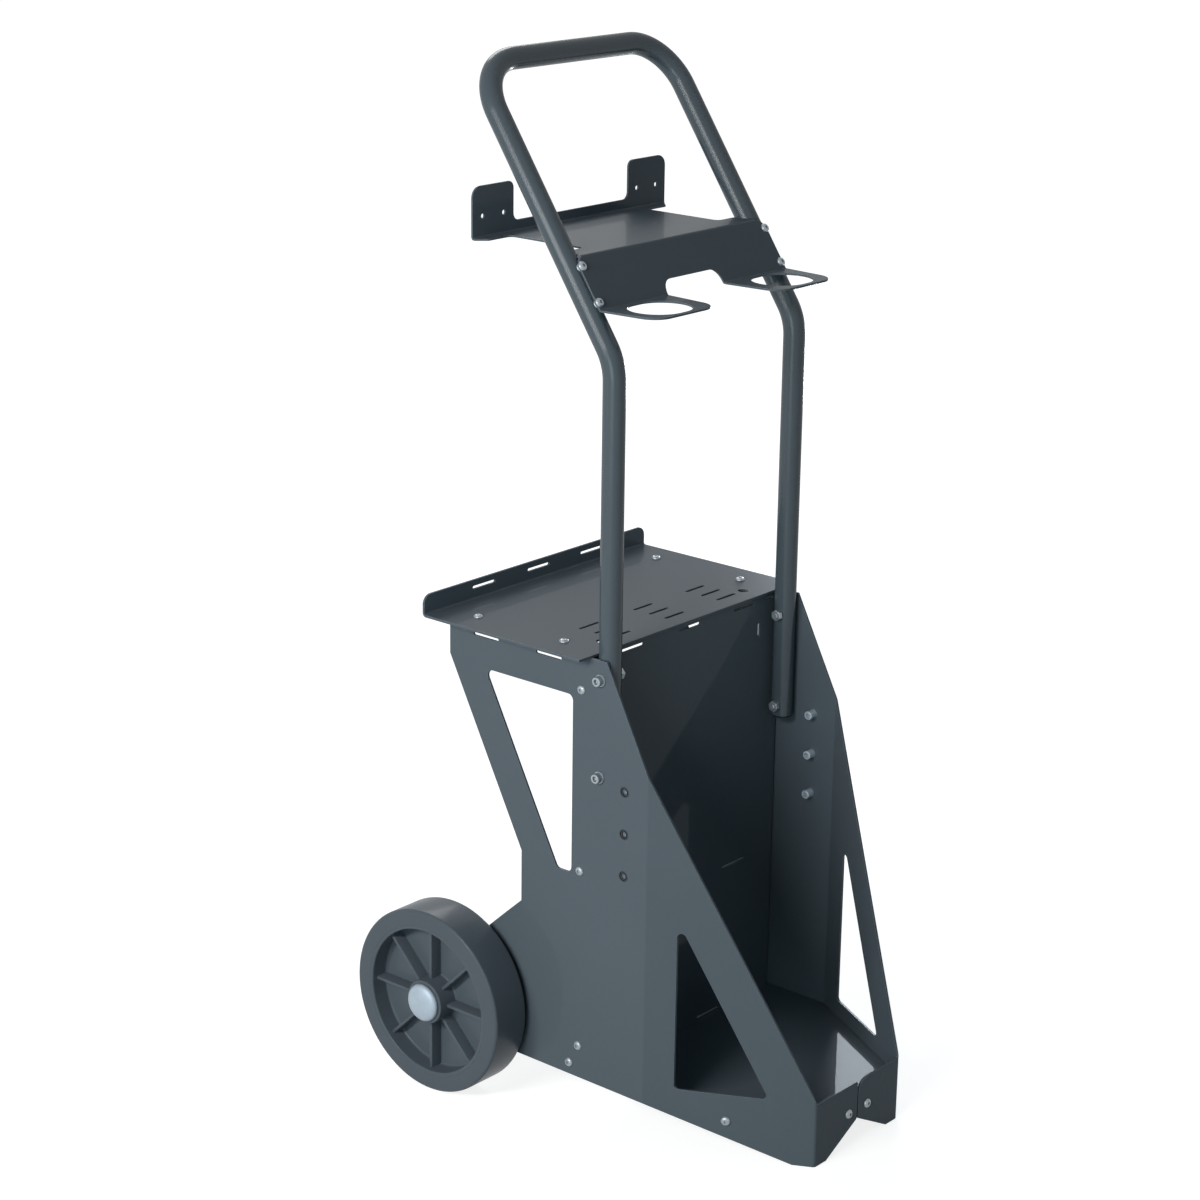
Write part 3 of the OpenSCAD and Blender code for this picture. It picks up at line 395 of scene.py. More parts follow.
@dataclass(frozen=True)
class Moulding(Finish):
    """A moulded plastic or rubber with a fine spark-eroded grain and pale scuffs.

    Attributes:
        grain: Grain waves for each metre.
        depth: Depth of the grain in metres.
        coat: Weight of a thin gloss from the mould.
        turned: Turning marks for each metre from the wheel's axis, or 0 for none.
        pale: How much lighter a scuff is than the colour.
    """

    grain: float = 900.0
    depth: float = 0.00004
    coat: float = 0.1
    turned: float = 0.0
    pale: float = 1.9

    def material(self) -> Material:
        """Makes the finish as a material.

        Returns:
            The material.
        """
        shader = Shader(self.slot)
        where = shader.where()
        cloud = shader.noise(where, 14.0, 3.0)
        fine = shader.noise(where, self.grain)
        scuff = shader.step(shader.noise(shader.where(scale=(1, 6, 6)), 38.0, 4.0), 0.12, 0.3)
        own = shader.tint(self.colour, 1.0 + cloud * 0.2 + fine * 0.1)
        height = fine * 0.6
        if self.turned:
            height = height + (shader.from_axle() * (self.turned * math.tau)).sine() * 0.2
        sockets = {
            "Base Color": shader.mix(scuff * 0.12, own, tuple(min(1, c * self.pale) for c in self.colour)),
            "Roughness": self.roughness + cloud * 0.12 + fine * 0.1 + scuff * 0.1,
            "Specular IOR Level": 0.08,
            "Coat Weight": self.coat,
            "Coat Roughness": 0.16,
            "Normal": shader.bump(height, self.depth, 0.5),
        }
        return shader.surface(sockets)


@dataclass(frozen=True)
class PlatedSteel(Finish):
    """Zinc-plated steel with a crystalline mottle, darker stains and fine tool marks.

    Attributes:
        metallic: How much of it reflects as metal.
        stretch: Stretch of the tool marks along X, Y and Z.
        depth: Depth of the tool marks in metres.
        stained: How dark a stain is beside the colour.
        painted_shade: A dark colour painted as shade on what shows outside the side panels, or None where
            that part keeps the colour.
        painted_shade_depth: How far in from the panels' faces that painted shade reaches, in millimetres.
    """

    metallic: float = 0.85
    stretch: Triple = (1.0, 1.0, 1.0)
    depth: float = 0.00002
    stained: float = 0.6
    painted_shade: Triple | None = None
    painted_shade_depth: float = 1.1

    def material(self) -> Material:
        """Makes the finish as a material.

        Returns:
            The material.
        """
        shader = Shader(self.slot)
        where = shader.where()
        bloom = shader.noise(where, 120.0, 4.0)
        marks = shader.noise(shader.where(scale=self.stretch), 1800.0)
        stain = shader.step(shader.noise(where, 420.0, 3.0), 0.06, 0.25)
        tone = 1.0 + bloom * 0.35 + marks * 0.2
        stained = tuple(c * self.stained for c in self.colour)
        colour = shader.mix(stain * 0.25, shader.tint(self.colour, tone), stained)
        if self.painted_shade:
            # Painted shade: the rivet nut's flange and neck outside the panels take a dark colour, so they
            # read as a shaded ring round the bore.
            outer = shader.outside((PANEL_HALF - self.painted_shade_depth) * MM)
            colour = shader.mix(outer, colour, shader.tint(self.painted_shade, tone))
        sockets = {
            "Base Color": colour,
            "Roughness": self.roughness + bloom * 0.2 + marks * 0.14 + stain * 0.1,
            "Metallic": self.metallic - stain * 0.2,
            "Normal": shader.bump(marks, self.depth, 0.4),
        }
        return shader.surface(sockets)


FINISHES: tuple[Finish, ...] = (
    PowderCoat("sheet_paint", (0.092, 0.113, 0.131), 0.42),
    PowderCoat("tube_paint", (0.06, 0.08, 0.094), 0.3, coat=0.55, gloss=0.22, peel=0.0, sheen=0.0),
    Moulding("rim_plastic", (0.08, 0.098, 0.114), 0.42, coat=0.14),
    Moulding("tyre_rubber", (0.077, 0.094, 0.11), 0.4, grain=700.0, coat=0.16, turned=420.0),
    Moulding("bush_plastic", (0.55, 0.55, 0.5), 0.45),
    Moulding("plug_plastic", (0.016, 0.017, 0.018), 0.5, depth=0.00006),
    PlatedSteel("axle_steel", (0.5, 0.52, 0.54), 0.32, stretch=(0.1, 1, 1)),
    PlatedSteel("cap_steel", (0.4, 0.47, 0.54), 0.55, metallic=0.35),
    PlatedSteel("zinc_steel", (0.33, 0.365, 0.39), 0.38, metallic=0.6),
    # Rivet nuts: the pale colour inside the panels is partly their zinc and partly a painted highlight in the
    # bore; the dark colour outside is painted shade.
    PlatedSteel("rivet_steel", (0.56, 0.62, 0.68), 0.4, metallic=0.25, painted_shade=(0.028, 0.036, 0.042)),
)

PALETTE: dict[str, Material] = {}


def mix_finishes() -> None:
    """Makes every finish once and keeps it in the palette by its slot."""
    for finish in FINISHES:
        PALETTE[finish.slot] = finish.material()
        log.info("finish %s", finish.slot)


# Mesh helpers


def hold(name: str, mesh: Mesh) -> Object:
    """Puts a mesh into the scene as an object at the origin.

    Args:
        name: The object's name.
        mesh: Its mesh.

    Returns:
        The object.
    """
    holder = bpy.data.objects.new(name, mesh)
    bpy.context.scene.collection.objects.link(holder)
    return holder


def settle(node: str, mesh: Mesh, slot: str, body: str = "cart", name: str = "") -> Object:
    """Puts a finished mesh into the scene as a piece of the cart.

    Args:
        node: The CAD node that it stands for.
        mesh: Its mesh, in place in the frame.
        slot: The record's slot that it takes its finish from.
        body: The body that it rides on.
        name: The piece's name, where it isn't the node's name with hyphens.

    Returns:
        The piece.
    """
    name = name or node.replace("_", "-")
    mesh.name = name
    piece = hold(name, mesh)
    mesh.materials.clear()
    mesh.materials.append(PALETTE[slot])
    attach(piece, body)
    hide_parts(node)
    log.info("piece %s: %d faces on %s", name, len(mesh.polygons), body)
    return piece


def evaluate(holder: Object) -> Mesh:
    """Turns an object with modifiers into a plain mesh and removes the object.

    Args:
        holder: The object.

    Returns:
        The mesh with its modifiers applied.
    """
    graph = bpy.context.evaluated_depsgraph_get()
    mesh = bpy.data.meshes.new_from_object(holder.evaluated_get(graph), depsgraph=graph)
    bpy.data.objects.remove(holder)
    return mesh


def cast(bm: BMesh, name: str) -> Mesh:
    """Turns mesh data into a mesh and frees it.

    Args:
        bm: The mesh data.
        name: The mesh's name.

    Returns:
        The mesh.
    """
    mesh = bpy.data.meshes.new(name)
    bm.to_mesh(mesh)
    bm.free()
    return mesh


def soften(mesh: Mesh, angle: float = 32.0) -> Mesh:
    """Shades a mesh smooth except at its sharp edges.

    Args:
        mesh: The mesh.
        angle: Turn in degrees from which an edge is sharp.

    Returns:
        The same mesh.
    """
    mesh.shade_smooth()
    mesh.set_sharp_from_angle(angle=math.radians(angle))
    return mesh


class Ring(Enum):
    """The form of one ring of a turned part."""

    ROUND = "round"
    HEX = "hex"
    KNURL = "knurl"


@dataclass
class Turned:
    """A part turned round the Z axis.

    Attributes:
        profile: Radius and height of each ring in millimetres, and its form where it isn't round. A
            hexagon's radius is half its width over flats.
        closed: Whether the last ring meets the first.
        sides: Faces round the axis.
        knurl: How far the corners of a knurled ring stand in and out, in millimetres.
    """

    profile: list[tuple]
    closed: bool = False
    sides: int = 48
    knurl: float = 0.12

    def _radius(self, step: int, radius: float, form: Ring = Ring.ROUND) -> float:
        """Gives the distance of a ring's corner from the axis.

        Args:
            step: The corner's number.
            radius: The ring's radius.
            form: The ring's form.

        Returns:
            The distance in millimetres.
        """
        if form is Ring.HEX:
            turn = (step * 360 / self.sides) % 60 - 30
            return radius / math.cos(math.radians(turn))
        if form is Ring.KNURL:
            return radius + (self.knurl if step % 2 else -self.knurl)
        return radius

    def mesh(self, name: str) -> Mesh:
        """Builds the part round the origin, in metres.

        Args:
            name: The mesh's name.

        Returns:
            The mesh.
        """
        bm = bmesh.new()
        rings = []
        for radius, height, *form in self.profile:
            if radius == 0:
                rings.append([bm.verts.new((0, 0, height * MM))])
                continue
            ring = []
            for step in range(self.sides):
                turn = step * math.tau / self.sides
                reach = self._radius(step, radius, *form) * MM
                ring.append(bm.verts.new((reach * math.cos(turn), reach * math.sin(turn), height * MM)))
            rings.append(ring)
        pairs = list(zip(rings, rings[1:]))
        if self.closed:
            pairs.append((rings[-1], rings[0]))
        for low, high in pairs:
            for step in range(self.sides):
                after = (step + 1) % self.sides
                square = ((low, step), (low, after), (high, after), (high, step))
                corners = [ring[k % len(ring)] for ring, k in square]
                bm.faces.new(list(dict.fromkeys(corners)))
        bmesh.ops.recalc_face_normals(bm, faces=bm.faces)
        return soften(cast(bm, name))


def arc(radius: float, height: float, size: float, start: float, end: float, steps: int = 5) -> Points:
    """Gives points on an arc of a profile.

    Args:
        radius: Radius of the arc's middle from the axis.
        height: Height of the arc's middle.
        size: The arc's own radius.
        start: Its first angle in degrees, from the radius towards the height.
        end: Its last angle.
        steps: How many steps it has.

    Returns:
        Radii and heights.
    """
    turns = [math.radians(start + (end - start) * k / steps) for k in range(steps + 1)]
    return [(radius + size * math.cos(t), height + size * math.sin(t)) for t in turns]


def flipped(points: Points, total: float = 0.0) -> Points:
    """Gives the other half of a profile: these points upside down, the last one first.

    Args:
        points: Radii and heights.
        total: What a height and its mirror image add up to.

    Returns:
        Radii and heights.
    """
    return [(radius, total - height) for radius, height in reversed(points)]


# Geometry Nodes


class GeometryGraph(Graph):
    """A Geometry Nodes tree with named inputs that ends in Realize Instances and Set Material."""

    def __init__(self, name: str, inputs: dict[str, str]) -> None:
        """Makes the tree with a geometry input, a material input and these.

        Args:
            name: The tree's name.
            inputs: Socket types by the input's name.
        """
        super().__init__(bpy.data.node_groups.new(name, "GeometryNodeTree"))
        face = self.tree.interface
        face.new_socket("Geometry", in_out="INPUT", socket_type="NodeSocketGeometry")
        for label, kind in {**inputs, "Material": "NodeSocketMaterial"}.items():
            face.new_socket(label, in_out="INPUT", socket_type=kind)
        face.new_socket("Geometry", in_out="OUTPUT", socket_type="NodeSocketGeometry")
        self.start = self.node("NodeGroupInput").outputs

    def close(self, geometry: NodeSocket) -> None:
        """Ends the tree.

        Args:
            geometry: What the tree has made.
        """
        real = self.node("GeometryNodeRealizeInstances", {0: geometry}).outputs[0]
        sockets = {"Geometry": real, "Material": self.start["Material"]}
        dressed = self.node("GeometryNodeSetMaterial", sockets)
        self.node("NodeGroupOutput", {0: dressed.outputs[0]})

    def run(self, name: str, base: Mesh, values: dict) -> Mesh:
        """Runs the tree on a mesh.

        Args:
            name: The result's name.
            base: The mesh that it starts from.
            values: The inputs by name.

        Returns:
            A plain mesh.
        """
        holder = hold(name, base)
        modifier = holder.modifiers.new(self.tree.name, "NODES")
        modifier.node_group = self.tree
        for item in self.tree.interface.items_tree:
            if item.in_out == "INPUT" and item.name in values:
                modifier[item.identifier] = values[item.name]
        return evaluate(holder)


class FastenerGraph(GeometryGraph):
    """Sets one part on every point of a mesh, with its Z along the point's aim and turned by chance."""

    def __init__(self) -> None:
        """Builds the tree."""
        kinds = {"Part": "NodeSocketObject", "Turn": "NodeSocketFloat", "Seed": "NodeSocketInt"}
        super().__init__("fasteners", kinds)
        start = self.start
        aim = self.node("GeometryNodeInputNamedAttribute", {"Name": "aim"}, data_type="FLOAT_VECTOR")
        sockets = {"Vector": aim.outputs[0]}
        stand = self.node("FunctionNodeAlignRotationToVector", sockets, axis="Z").outputs[0]
        range_and_seed = {3: start["Turn"], "Seed": start["Seed"]}
        chance = self.node("FunctionNodeRandomValue", range_and_seed, data_type="FLOAT").outputs[1]
        spin = self.node("FunctionNodeAxisAngleToRotation", {"Axis": (0, 0, 1), "Angle": chance}).outputs[0]
        turned = self.node("FunctionNodeRotateRotation", {0: stand, 1: spin}, rotation_space="LOCAL")
        part = self.node("GeometryNodeObjectInfo", {"Object": start["Part"]}).outputs["Geometry"]
        sockets = {"Points": start["Geometry"], "Instance": part, "Rotation": turned.outputs[0]}
        self.close(self.node("GeometryNodeInstanceOnPoints", sockets).outputs[0])


class RibGraph(GeometryGraph):
    """Sets one rib round a wheel's axis, which runs along X."""

    def __init__(self) -> None:
        """Builds the tree."""
        super().__init__("ribs", {"Count": "NodeSocketInt", "Centre": "NodeSocketVector"})
        count = self.start["Count"]
        number = Wire(self, self.node("GeometryNodeInputIndex").outputs[0])
        angle = number * (math.tau / Wire(self, count))
        turn = self.node("FunctionNodeAxisAngleToRotation", {"Axis": (1, 0, 0), "Angle": angle}).outputs[0]
        points = self.node("GeometryNodePoints", {"Count": count, "Position": self.start["Centre"]})
        sockets = {"Points": points.outputs[0], "Instance": self.start["Geometry"], "Rotation": turn}
        self.close(self.node("GeometryNodeInstanceOnPoints", sockets).outputs[0])


class TubeGraph(GeometryGraph):
    """Sweeps a round tube along the edges of a mesh."""

    def __init__(self) -> None:
        """Builds the tree."""
        super().__init__("tube", {"Radius": "NodeSocketFloat", "Sides": "NodeSocketInt"})
        path = self.node("GeometryNodeMeshToCurve", {0: self.start["Geometry"]}).outputs[0]
        section = {"Resolution": self.start["Sides"], "Radius": self.start["Radius"]}
        circle = self.node("GeometryNodeCurvePrimitiveCircle", section).outputs[0]
        sockets = {"Curve": path, "Profile Curve": circle, "Fill Caps": True}
        self.close(self.node("GeometryNodeCurveToMesh", sockets).outputs[0])


# Fasteners


@dataclass
class Spot:
    """A place for a fastener: a point and the way that its head looks."""

    point: Vector
    aim: Vector

    def mirrored(self) -> "Spot":
        """Gives the same place on the other side of the cart."""
        return Spot(self.point * Vector((-1, 1, 1)), self.aim * Vector((-1, 1, 1)))

    def deeper(self, depth: float) -> "Spot":
        """Gives the place that lies that many millimetres behind this one."""
        return Spot(self.point - self.aim * depth * MM, self.aim)


def both(*spots: Spot) -> list[Spot]:
    """Gives these places and their mirror images."""
    return [*spots, *(spot.mirrored() for spot in spots)]


@dataclass
class FastenerKit:
    """Every screw, nut, washer, insert and rivet nut of the cart, in millimetres.

    Attributes:
        panel: Thickness of the side panels and the shelf.
        bay: Thickness of the bay wall, the floor tray and the hanger.
        washer: Thickness of the handle's washers.
        flange: Thickness of the inserts' flanges between tube and hanger.
        shelf: Height of the shelf top.
        shelf_x: Distance of the shelf's screws from the middle.
        shelf_rows: Their places behind the shelf's front.
        wall_y: Place of the bay wall's screws.
        wall_rows: Their heights.
        floor_spot: Place and height of the floor tray's screws on the panels.
        wing_fold: Place where the panels' front wings begin.
        wing_angle: Turn of the wings, in degrees.
        wing_spot: Place and height of the screws on the wings.
        toe_fold: Distance of the wings' front folds from the middle.
        toe_spot: The right toe screw's place.
        leg_rows: Heights of the handle's bolts.
        plate_rows: Heights of the hanger's screws.
        rivet_y: Place of the rivet nuts.
        rivet_rows: Their heights.
        graph: The tree that sets a part on its places.
    """

    panel: float = 2.5
    bay: float = 2.0
    washer: float = 1.5
    flange: float = 1.5
    shelf: float = 493.5
    shelf_x: float = 136.7
    shelf_rows: tuple[float, ...] = (47, 159.6)
    wall_y: float = 11.8
    wall_rows: tuple[float, ...] = (456.5, 269.65, 82.8)
    floor_spot: tuple[float, float] = (23.2, 61)
    wing_fold: float = -72
    wing_angle: float = 28.48
    wing_spot: tuple[float, float] = (-145.1, 39.5)
    toe_fold: float = 68.5
    toe_spot: Triple = (15.4, -223, 37.5)
    leg_rows: tuple[float, ...] = (471.5, 373.5)
    plate_rows: tuple[float, ...] = (860.4, 829.5)
    rivet_y: float = -43.4
    rivet_rows: tuple[float, ...] = (366.5, 323.25, 280)
    graph: FastenerGraph = field(default_factory=FastenerGraph)

    def button(self, grip: float) -> Turned:
        """Gives a button screw with a hex socket.

        Args:
            grip: Length of its shank.

        Returns:
            The screw, with its seat at height 0.
        """
        shank = [(0, -grip), (1.9, -grip), (2.5, 0.6 - grip), (2.5, 0)]
        dome = [(4.75, 0), (4.75, 0.5), (4.62, 0.95), (4.3, 1.5), (3.75, 2.05), (3.0, 2.45), (2.1, 2.68)]
        socket = [(1.62, 2.68, Ring.HEX), (1.5, 2.5, Ring.HEX), (1.5, 1.1, Ring.HEX), (0, 0.75)]
        return Turned([*shank, *dome, *socket])

    def cap_bolt(self, grip: float) -> Turned:
        """Gives a socket cap bolt with a knurled head.

        Args:
            grip: Length of its shank.

        Returns:
            The bolt, with its seat at height 0.
        """
        shank = [(0, -grip), (2.4, -grip), (3.0, 0.7 - grip), (3.0, 0), (4.6, 0)]
        knurl = [(4.85, 0.4), (4.88, 0.7, Ring.KNURL), (4.88, 4.9, Ring.KNURL), (4.85, 5.2)]
        crown = [(4.7, 5.6), (4.3, 6.0), (3.1, 6.0)]
        socket = [(2.62, 5.98, Ring.HEX), (2.5, 5.75, Ring.HEX), (2.5, 2.8, Ring.HEX), (0, 2.2)]
        return Turned([*shank, *knurl, *crown, *socket])

    def nut(self, flats: float, height: float, bore: float) -> Turned:
        """Gives a hex nut that hangs below height 0.

        Args:
            flats: Width over the flats.
            height: Its height.
            bore: Diameter of its bore.

        Returns:
            The nut.
        """
        out, hole = flats / 2, bore / 2 + 0.05
        round_face, mouth = out * 0.94, hole + 0.45
        outer = [(round_face, 0), (out, -0.35, Ring.HEX), (out, 0.35 - height, Ring.HEX)]
        inner = [(round_face, -height), (mouth, -height), (hole, 0.45 - height), (hole, -0.45), (mouth, 0)]
        return Turned([*outer, *inner], closed=True)

    def insert(self) -> Turned:
        """Gives a threaded insert whose flange stands on height 0.

        Returns:
            The insert.
        """
        flange = [(4.15, 0), (4.2, 0.6), (3.85, self.flange), (3.05, self.flange)]
        barrel = [(2.55, self.flange - 0.5), (2.55, -8.0), (3.1, -8.0), (3.6, -7.5), (3.6, 0)]
        return Turned([*flange, *barrel], closed=True)

    def rivet_nut(self) -> Turned:
        """Gives a rivet nut whose flange, with a groove round its neck, stands on height 0.

        Returns:
            The rivet nut.
        """
        flange = [(5.4, 0), (5.5, 0.15), (5.3, 0.35), (4.5, 0.4)]
        groove = [(4.25, -0.9), (3.7, -0.9), (3.45, 0.2), (2.9, 0.25)]
        barrel = [(2.5, -0.2), (2.5, -11.5), (4.0, -11.5), (4.5, -11.0), (4.5, 0)]
        return Turned([*flange, *groove, *barrel], closed=True)

    def on_panel(self, y: float, *heights: float) -> list[Spot]:
        """Gives places at these heights on the left panel's outer face."""
        return [Spot(place(-PANEL_HALF, y, z), Vector((-1, 0, 0))) for z in heights]

    def on_wing(self) -> Spot:
        """Gives the place of the screw low on the left panel's front wing.

        Returns:
            The place.
        """
        turn = math.radians(self.wing_angle)
        out = Vector((-math.cos(turn), -math.sin(turn), 0))
        y, z = self.wing_spot
        share = (y - self.wing_fold) / (self.toe_spot[1] - self.wing_fold)
        return Spot(place(share * (PANEL_HALF - self.toe_fold) - PANEL_HALF, y, z), out)

    def on_plate(self, z: float) -> Spot:
        """Gives a place on the hanger's sloping plate over the right leg.

        Args:
            z: Its height.

        Returns:
            The place.
        """
        turn = math.radians(LEAN)
        out = Vector((0, -math.cos(turn), math.sin(turn)))
        base = place(LEG_X, LEG_Y, ELBOW_Z) + out * (TUBE_RADIUS + self.flange + self.bay) * MM
        rise = (z * MM - base.z) / math.cos(turn)
        return Spot(base + Vector((0, math.sin(turn), math.cos(turn))) * rise, out)

    def fit(
        self, node: str, part: Turned, spots: list[Spot], depth: float = 0, slot: str = "zinc_steel"
    ) -> None:
        """Sets a part on its places as one piece of the cart.

        Args:
            node: The CAD node that it stands for.
            part: The part.
            spots: Its places.
            depth: How far behind them it sits.
            slot: Its finish.
        """
        spots = [spot.deeper(depth) for spot in spots]
        holder = hold(node + "_part", part.mesh(node + "_part"))
        base = bpy.data.meshes.new(node + "_points")
        base.from_pydata([spot.point for spot in spots], [], [])
        aims = base.attributes.new("aim", "FLOAT_VECTOR", "POINT")
        aims.data.foreach_set("vector", [c for spot in spots for c in spot.aim])
        values = {"Part": holder, "Turn": math.tau, "Seed": len(node), "Material": PALETTE[slot]}
        mesh = self.graph.run(node, base, values)
        bpy.data.objects.remove(holder)
        settle(node, mesh, slot)

    def build(self) -> None:
        """Sets every fastener."""
        sheets, front = self.panel + self.bay, Vector((0, -1, 0))
        nut, screw = self.nut(8, 4, 5), self.button(sheets + 5.5)
        deck = both(*(Spot(place(self.shelf_x, y, self.shelf), Vector((0, 0, 1))) for y in self.shelf_rows))
        self.fit("shelf_screws", self.button(10.5), deck)
        self.fit("shelf_nuts", nut, deck, depth=2 * self.panel)
        joints = {
            "wall": both(*self.on_panel(self.wall_y, *self.wall_rows)),
            "floor": both(*self.on_panel(*self.floor_spot), self.on_wing()),
            "toe": both(Spot(place(*self.toe_spot), front)),
        }
        for joint, spots in joints.items():
            self.fit(joint + "_screws", screw, spots)
            self.fit(joint + "_nuts", nut, spots, depth=sheets)
        through = PANEL_HALF - LEG_X + TUBE_RADIUS
        legs = both(*self.on_panel(LEG_Y, *self.leg_rows))
        ring = [(3.3, 0), (5.8, 0), (6, 0.2)]
        ring += flipped(ring, self.washer)
        self.fit("handle_washers", Turned(ring, closed=True), legs)
        self.fit("handle_bolts", self.cap_bolt(through + self.washer + 6.5), legs, depth=-self.washer)
        self.fit("handle_nuts", self.nut(10, 5, 6), legs, depth=through)
        plate = both(*(self.on_plate(z) for z in self.plate_rows))
        self.fit("hanger_screws", self.button(11.5), plate)
        self.fit("hanger_inserts", self.insert(), plate, depth=self.bay + self.flange)
        left = self.on_panel(self.rivet_y, *self.rivet_rows)
        self.fit("rivet_nuts_left", self.rivet_nut(), left, slot="rivet_steel")
        self.fit("rivet_nuts_right", self.rivet_nut(), [spot.mirrored() for spot in left], slot="rivet_steel")


# Sheet parts


@dataclass
class SheetPart:
    """A folded sheet of the cart, with its cut edges slightly rounded as under a powder coat.

    Attributes:
        node: The CAD node that gives its shape.
        round_edge: Width of the rounding in metres.
        round_from: Turn in degrees from which an edge is rounded.
        mark: Material number that tells the rounded faces until they have their attribute.
        join: Distance in metres at which loose corners are joined.
        flat_area: Area in square metres from which a face counts as flat.
        level: Cosine of the angle that two faces of one flat may differ by.
        blend: Cosine of the angle up to which faces blend.
    """

    node: str
    round_edge: float = 0.00035
    round_from: float = 38.0
    mark: int = 1
    join: float = 0.000002
    flat_area: float = 0.00003
    level: float = 0.99995
    blend: float = 0.8

    def _flats(self, bm: BMesh) -> dict[int, Vector]:
        """Finds the large flats of the sheet.

        Args:
            bm: The sheet's mesh data.

        Returns:
            The flat's normal by the number of each face in it.
        """
        flats: dict[int, Vector] = {}
        seen_faces: set[int] = set()
        for first in bm.faces:
            if first.index in seen_faces:
                continue
            seen_faces.add(first.index)
            group = [first]
            for face in group:
                for other in (near for edge in face.edges for near in edge.link_faces):
                    if other.index not in seen_faces and other.normal.dot(first.normal) > self.level:
                        seen_faces.add(other.index)
                        group.append(other)
            if sum(face.calc_area() for face in group) > self.flat_area:
                whole = sum((face.normal * face.calc_area() for face in group), Vector()).normalized()
                flats.update((face.index, whole) for face in group)
        return flats

    def _even(self, mesh: Mesh) -> None:
        """Shades each flat face flat and lets only the folds and edges between them blend.

        Args:
            mesh: The sheet's mesh.
        """
        bm = bmesh.new()
        bm.from_mesh(mesh)
        bm.faces.ensure_lookup_table()
        flats = self._flats(bm)
        normals = []
        for face in bm.faces:
            for loop in face.loops:
                near = [f for f in loop.vert.link_faces if f.normal.dot(face.normal) > self.blend]
                plain = [flats[f.index] for f in near if f.index in flats]
                soft = plain or [f.normal * f.calc_area() for f in near] or [face.normal]
                normals.append(flats.get(face.index) or sum(soft, Vector()).normalized())
        bm.free()
        mesh.normals_split_custom_set(normals)

    def _merged(self) -> Mesh:
        """Gives a copy of the node's mesh with its loose triangles joined.

        Returns:
            The copy.
        """
        bm = bmesh.new()
        bm.from_mesh(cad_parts[self.node].data)
        bmesh.ops.remove_doubles(bm, verts=bm.verts, dist=self.join)
        mesh = cast(bm, self.node)
        mesh.shade_smooth()
        return mesh

    def build(self) -> Object:
        """Makes the sheet.

        Returns:
            The piece.
        """
        holder = hold(self.node, self._merged())
        bevel = holder.modifiers.new("edges", "BEVEL")
        bevel.width = self.round_edge
        bevel.segments = 2
        bevel.limit_method = "ANGLE"
        bevel.angle_limit = math.radians(self.round_from)
        bevel.use_clamp_overlap = False
        bevel.loop_slide = False
        bevel.material = self.mark
        for _ in range(self.mark + 1):
            holder.data.materials.append(None)
        mesh = evaluate(holder)
        self._even(mesh)
        edge = mesh.attributes.new("edge", "FLOAT", "CORNER")
        marks = [0.0] * len(mesh.loops)
        for polygon in mesh.polygons:
            if polygon.material_index == self.mark:
                for loop in polygon.loop_indices:
                    marks[loop] = 1.0
                polygon.material_index = 0
        edge.data.foreach_set("value", marks)
        return settle(self.node, mesh, "sheet_paint")


# Handle


@dataclass
class Handle:
    """The bent tube handle, in millimetres.

    Attributes:
        elbow_bend: Bend radius of the elbows.
        elbow_steps: Steps along an elbow.
        upper: Length of the leaning part up to the grip bar's middle.
        grip_bend: Bend radius at the grip bar's ends.
        grip_steps: Steps along each of those bends.
        sides: Faces round the tube.
    """

    elbow_bend: float = 55.0
    elbow_steps: int = 12
    upper: float = 312.0
    grip_bend: float = 52.0
    grip_steps: int = 20
    sides: int = 96

    def _half_path(self) -> list[Vector]:
        """Gives the tube's axis from the right leg's lower end to the middle of the grip bar.

        Returns:
            Points of the frame.
        """
        lean = math.radians(LEAN)
        cut = self.elbow_bend * math.tan(lean / 2)
        along = Vector((0, math.sin(lean), math.cos(lean)))
        corner = place(LEG_X, LEG_Y, ELBOW_Z)
        points = [place(LEG_X, LEG_Y, LEG_LOW)]
        for k in range(self.elbow_steps + 1):
            turn = lean * k / self.elbow_steps
            rise = self.elbow_bend * math.sin(turn) - cut
            points.append(corner + Vector((0, self.elbow_bend * (1 - math.cos(turn)), rise)) * MM)
        for k in range(self.grip_steps + 1):
            turn = math.radians(90) * k / self.grip_steps
            inward = self.grip_bend * (1 - math.cos(turn))
            up = self.upper - self.grip_bend + self.grip_bend * math.sin(turn)
            points.append(corner + along * up * MM - Vector((inward, 0, 0)) * MM)
        points.append(corner + along * self.upper * MM - Vector((LEG_X, 0, 0)) * MM)
        return points

    def build(self) -> None:
        """Makes the tube."""
        right = self._half_path()
        points = right + [p * Vector((-1, 1, 1)) for p in reversed(right[:-1])]
        base = bpy.data.meshes.new("handle_path")
        base.from_pydata(points, [(k, k + 1) for k in range(len(points) - 1)], [])
        values = {"Radius": TUBE_RADIUS * MM, "Sides": self.sides, "Material": PALETTE["tube_paint"]}
        mesh = soften(TubeGraph().run("handle-tube", base, values), 50)
        settle("handle_tube", mesh, "tube_paint")


@dataclass
class Plugs:
    """The plastic plugs in the lower ends of the tube, in millimetres.

    Attributes:
        flange: Thickness of the flange below the tube.
        shank: Radius of the part inside the tube.
        depth: How far it goes in.
        gap: Clearance at the tube's end.
    """

    kit: FastenerKit
    flange: float = 2.0
    shank: float = 8.9
    depth: float = 6.0
    gap: float = 0.05

    def build(self) -> None:
        """Makes the two plugs."""
        out, low = TUBE_RADIUS, -self.flange
        flange = [(0, low), (out - 1.1, low), (out - 0.3, low + 0.4), (out, low + 1), (out, -self.gap)]
        shank = [(self.shank, -self.gap), (self.shank, self.depth - 0.5), (self.shank - 0.5, self.depth)]
        spots = both(Spot(place(LEG_X, LEG_Y, LEG_LOW - self.gap), Vector((0, 0, 1))))
        self.kit.fit("tube_plugs", Turned([*flange, *shank, (0, self.depth)]), spots, slot="plug_plastic")


# Wheels and axle


class Side(Enum):
    """A side of the cart, with the sign of its X."""

    LEFT = -1
    RIGHT = 1


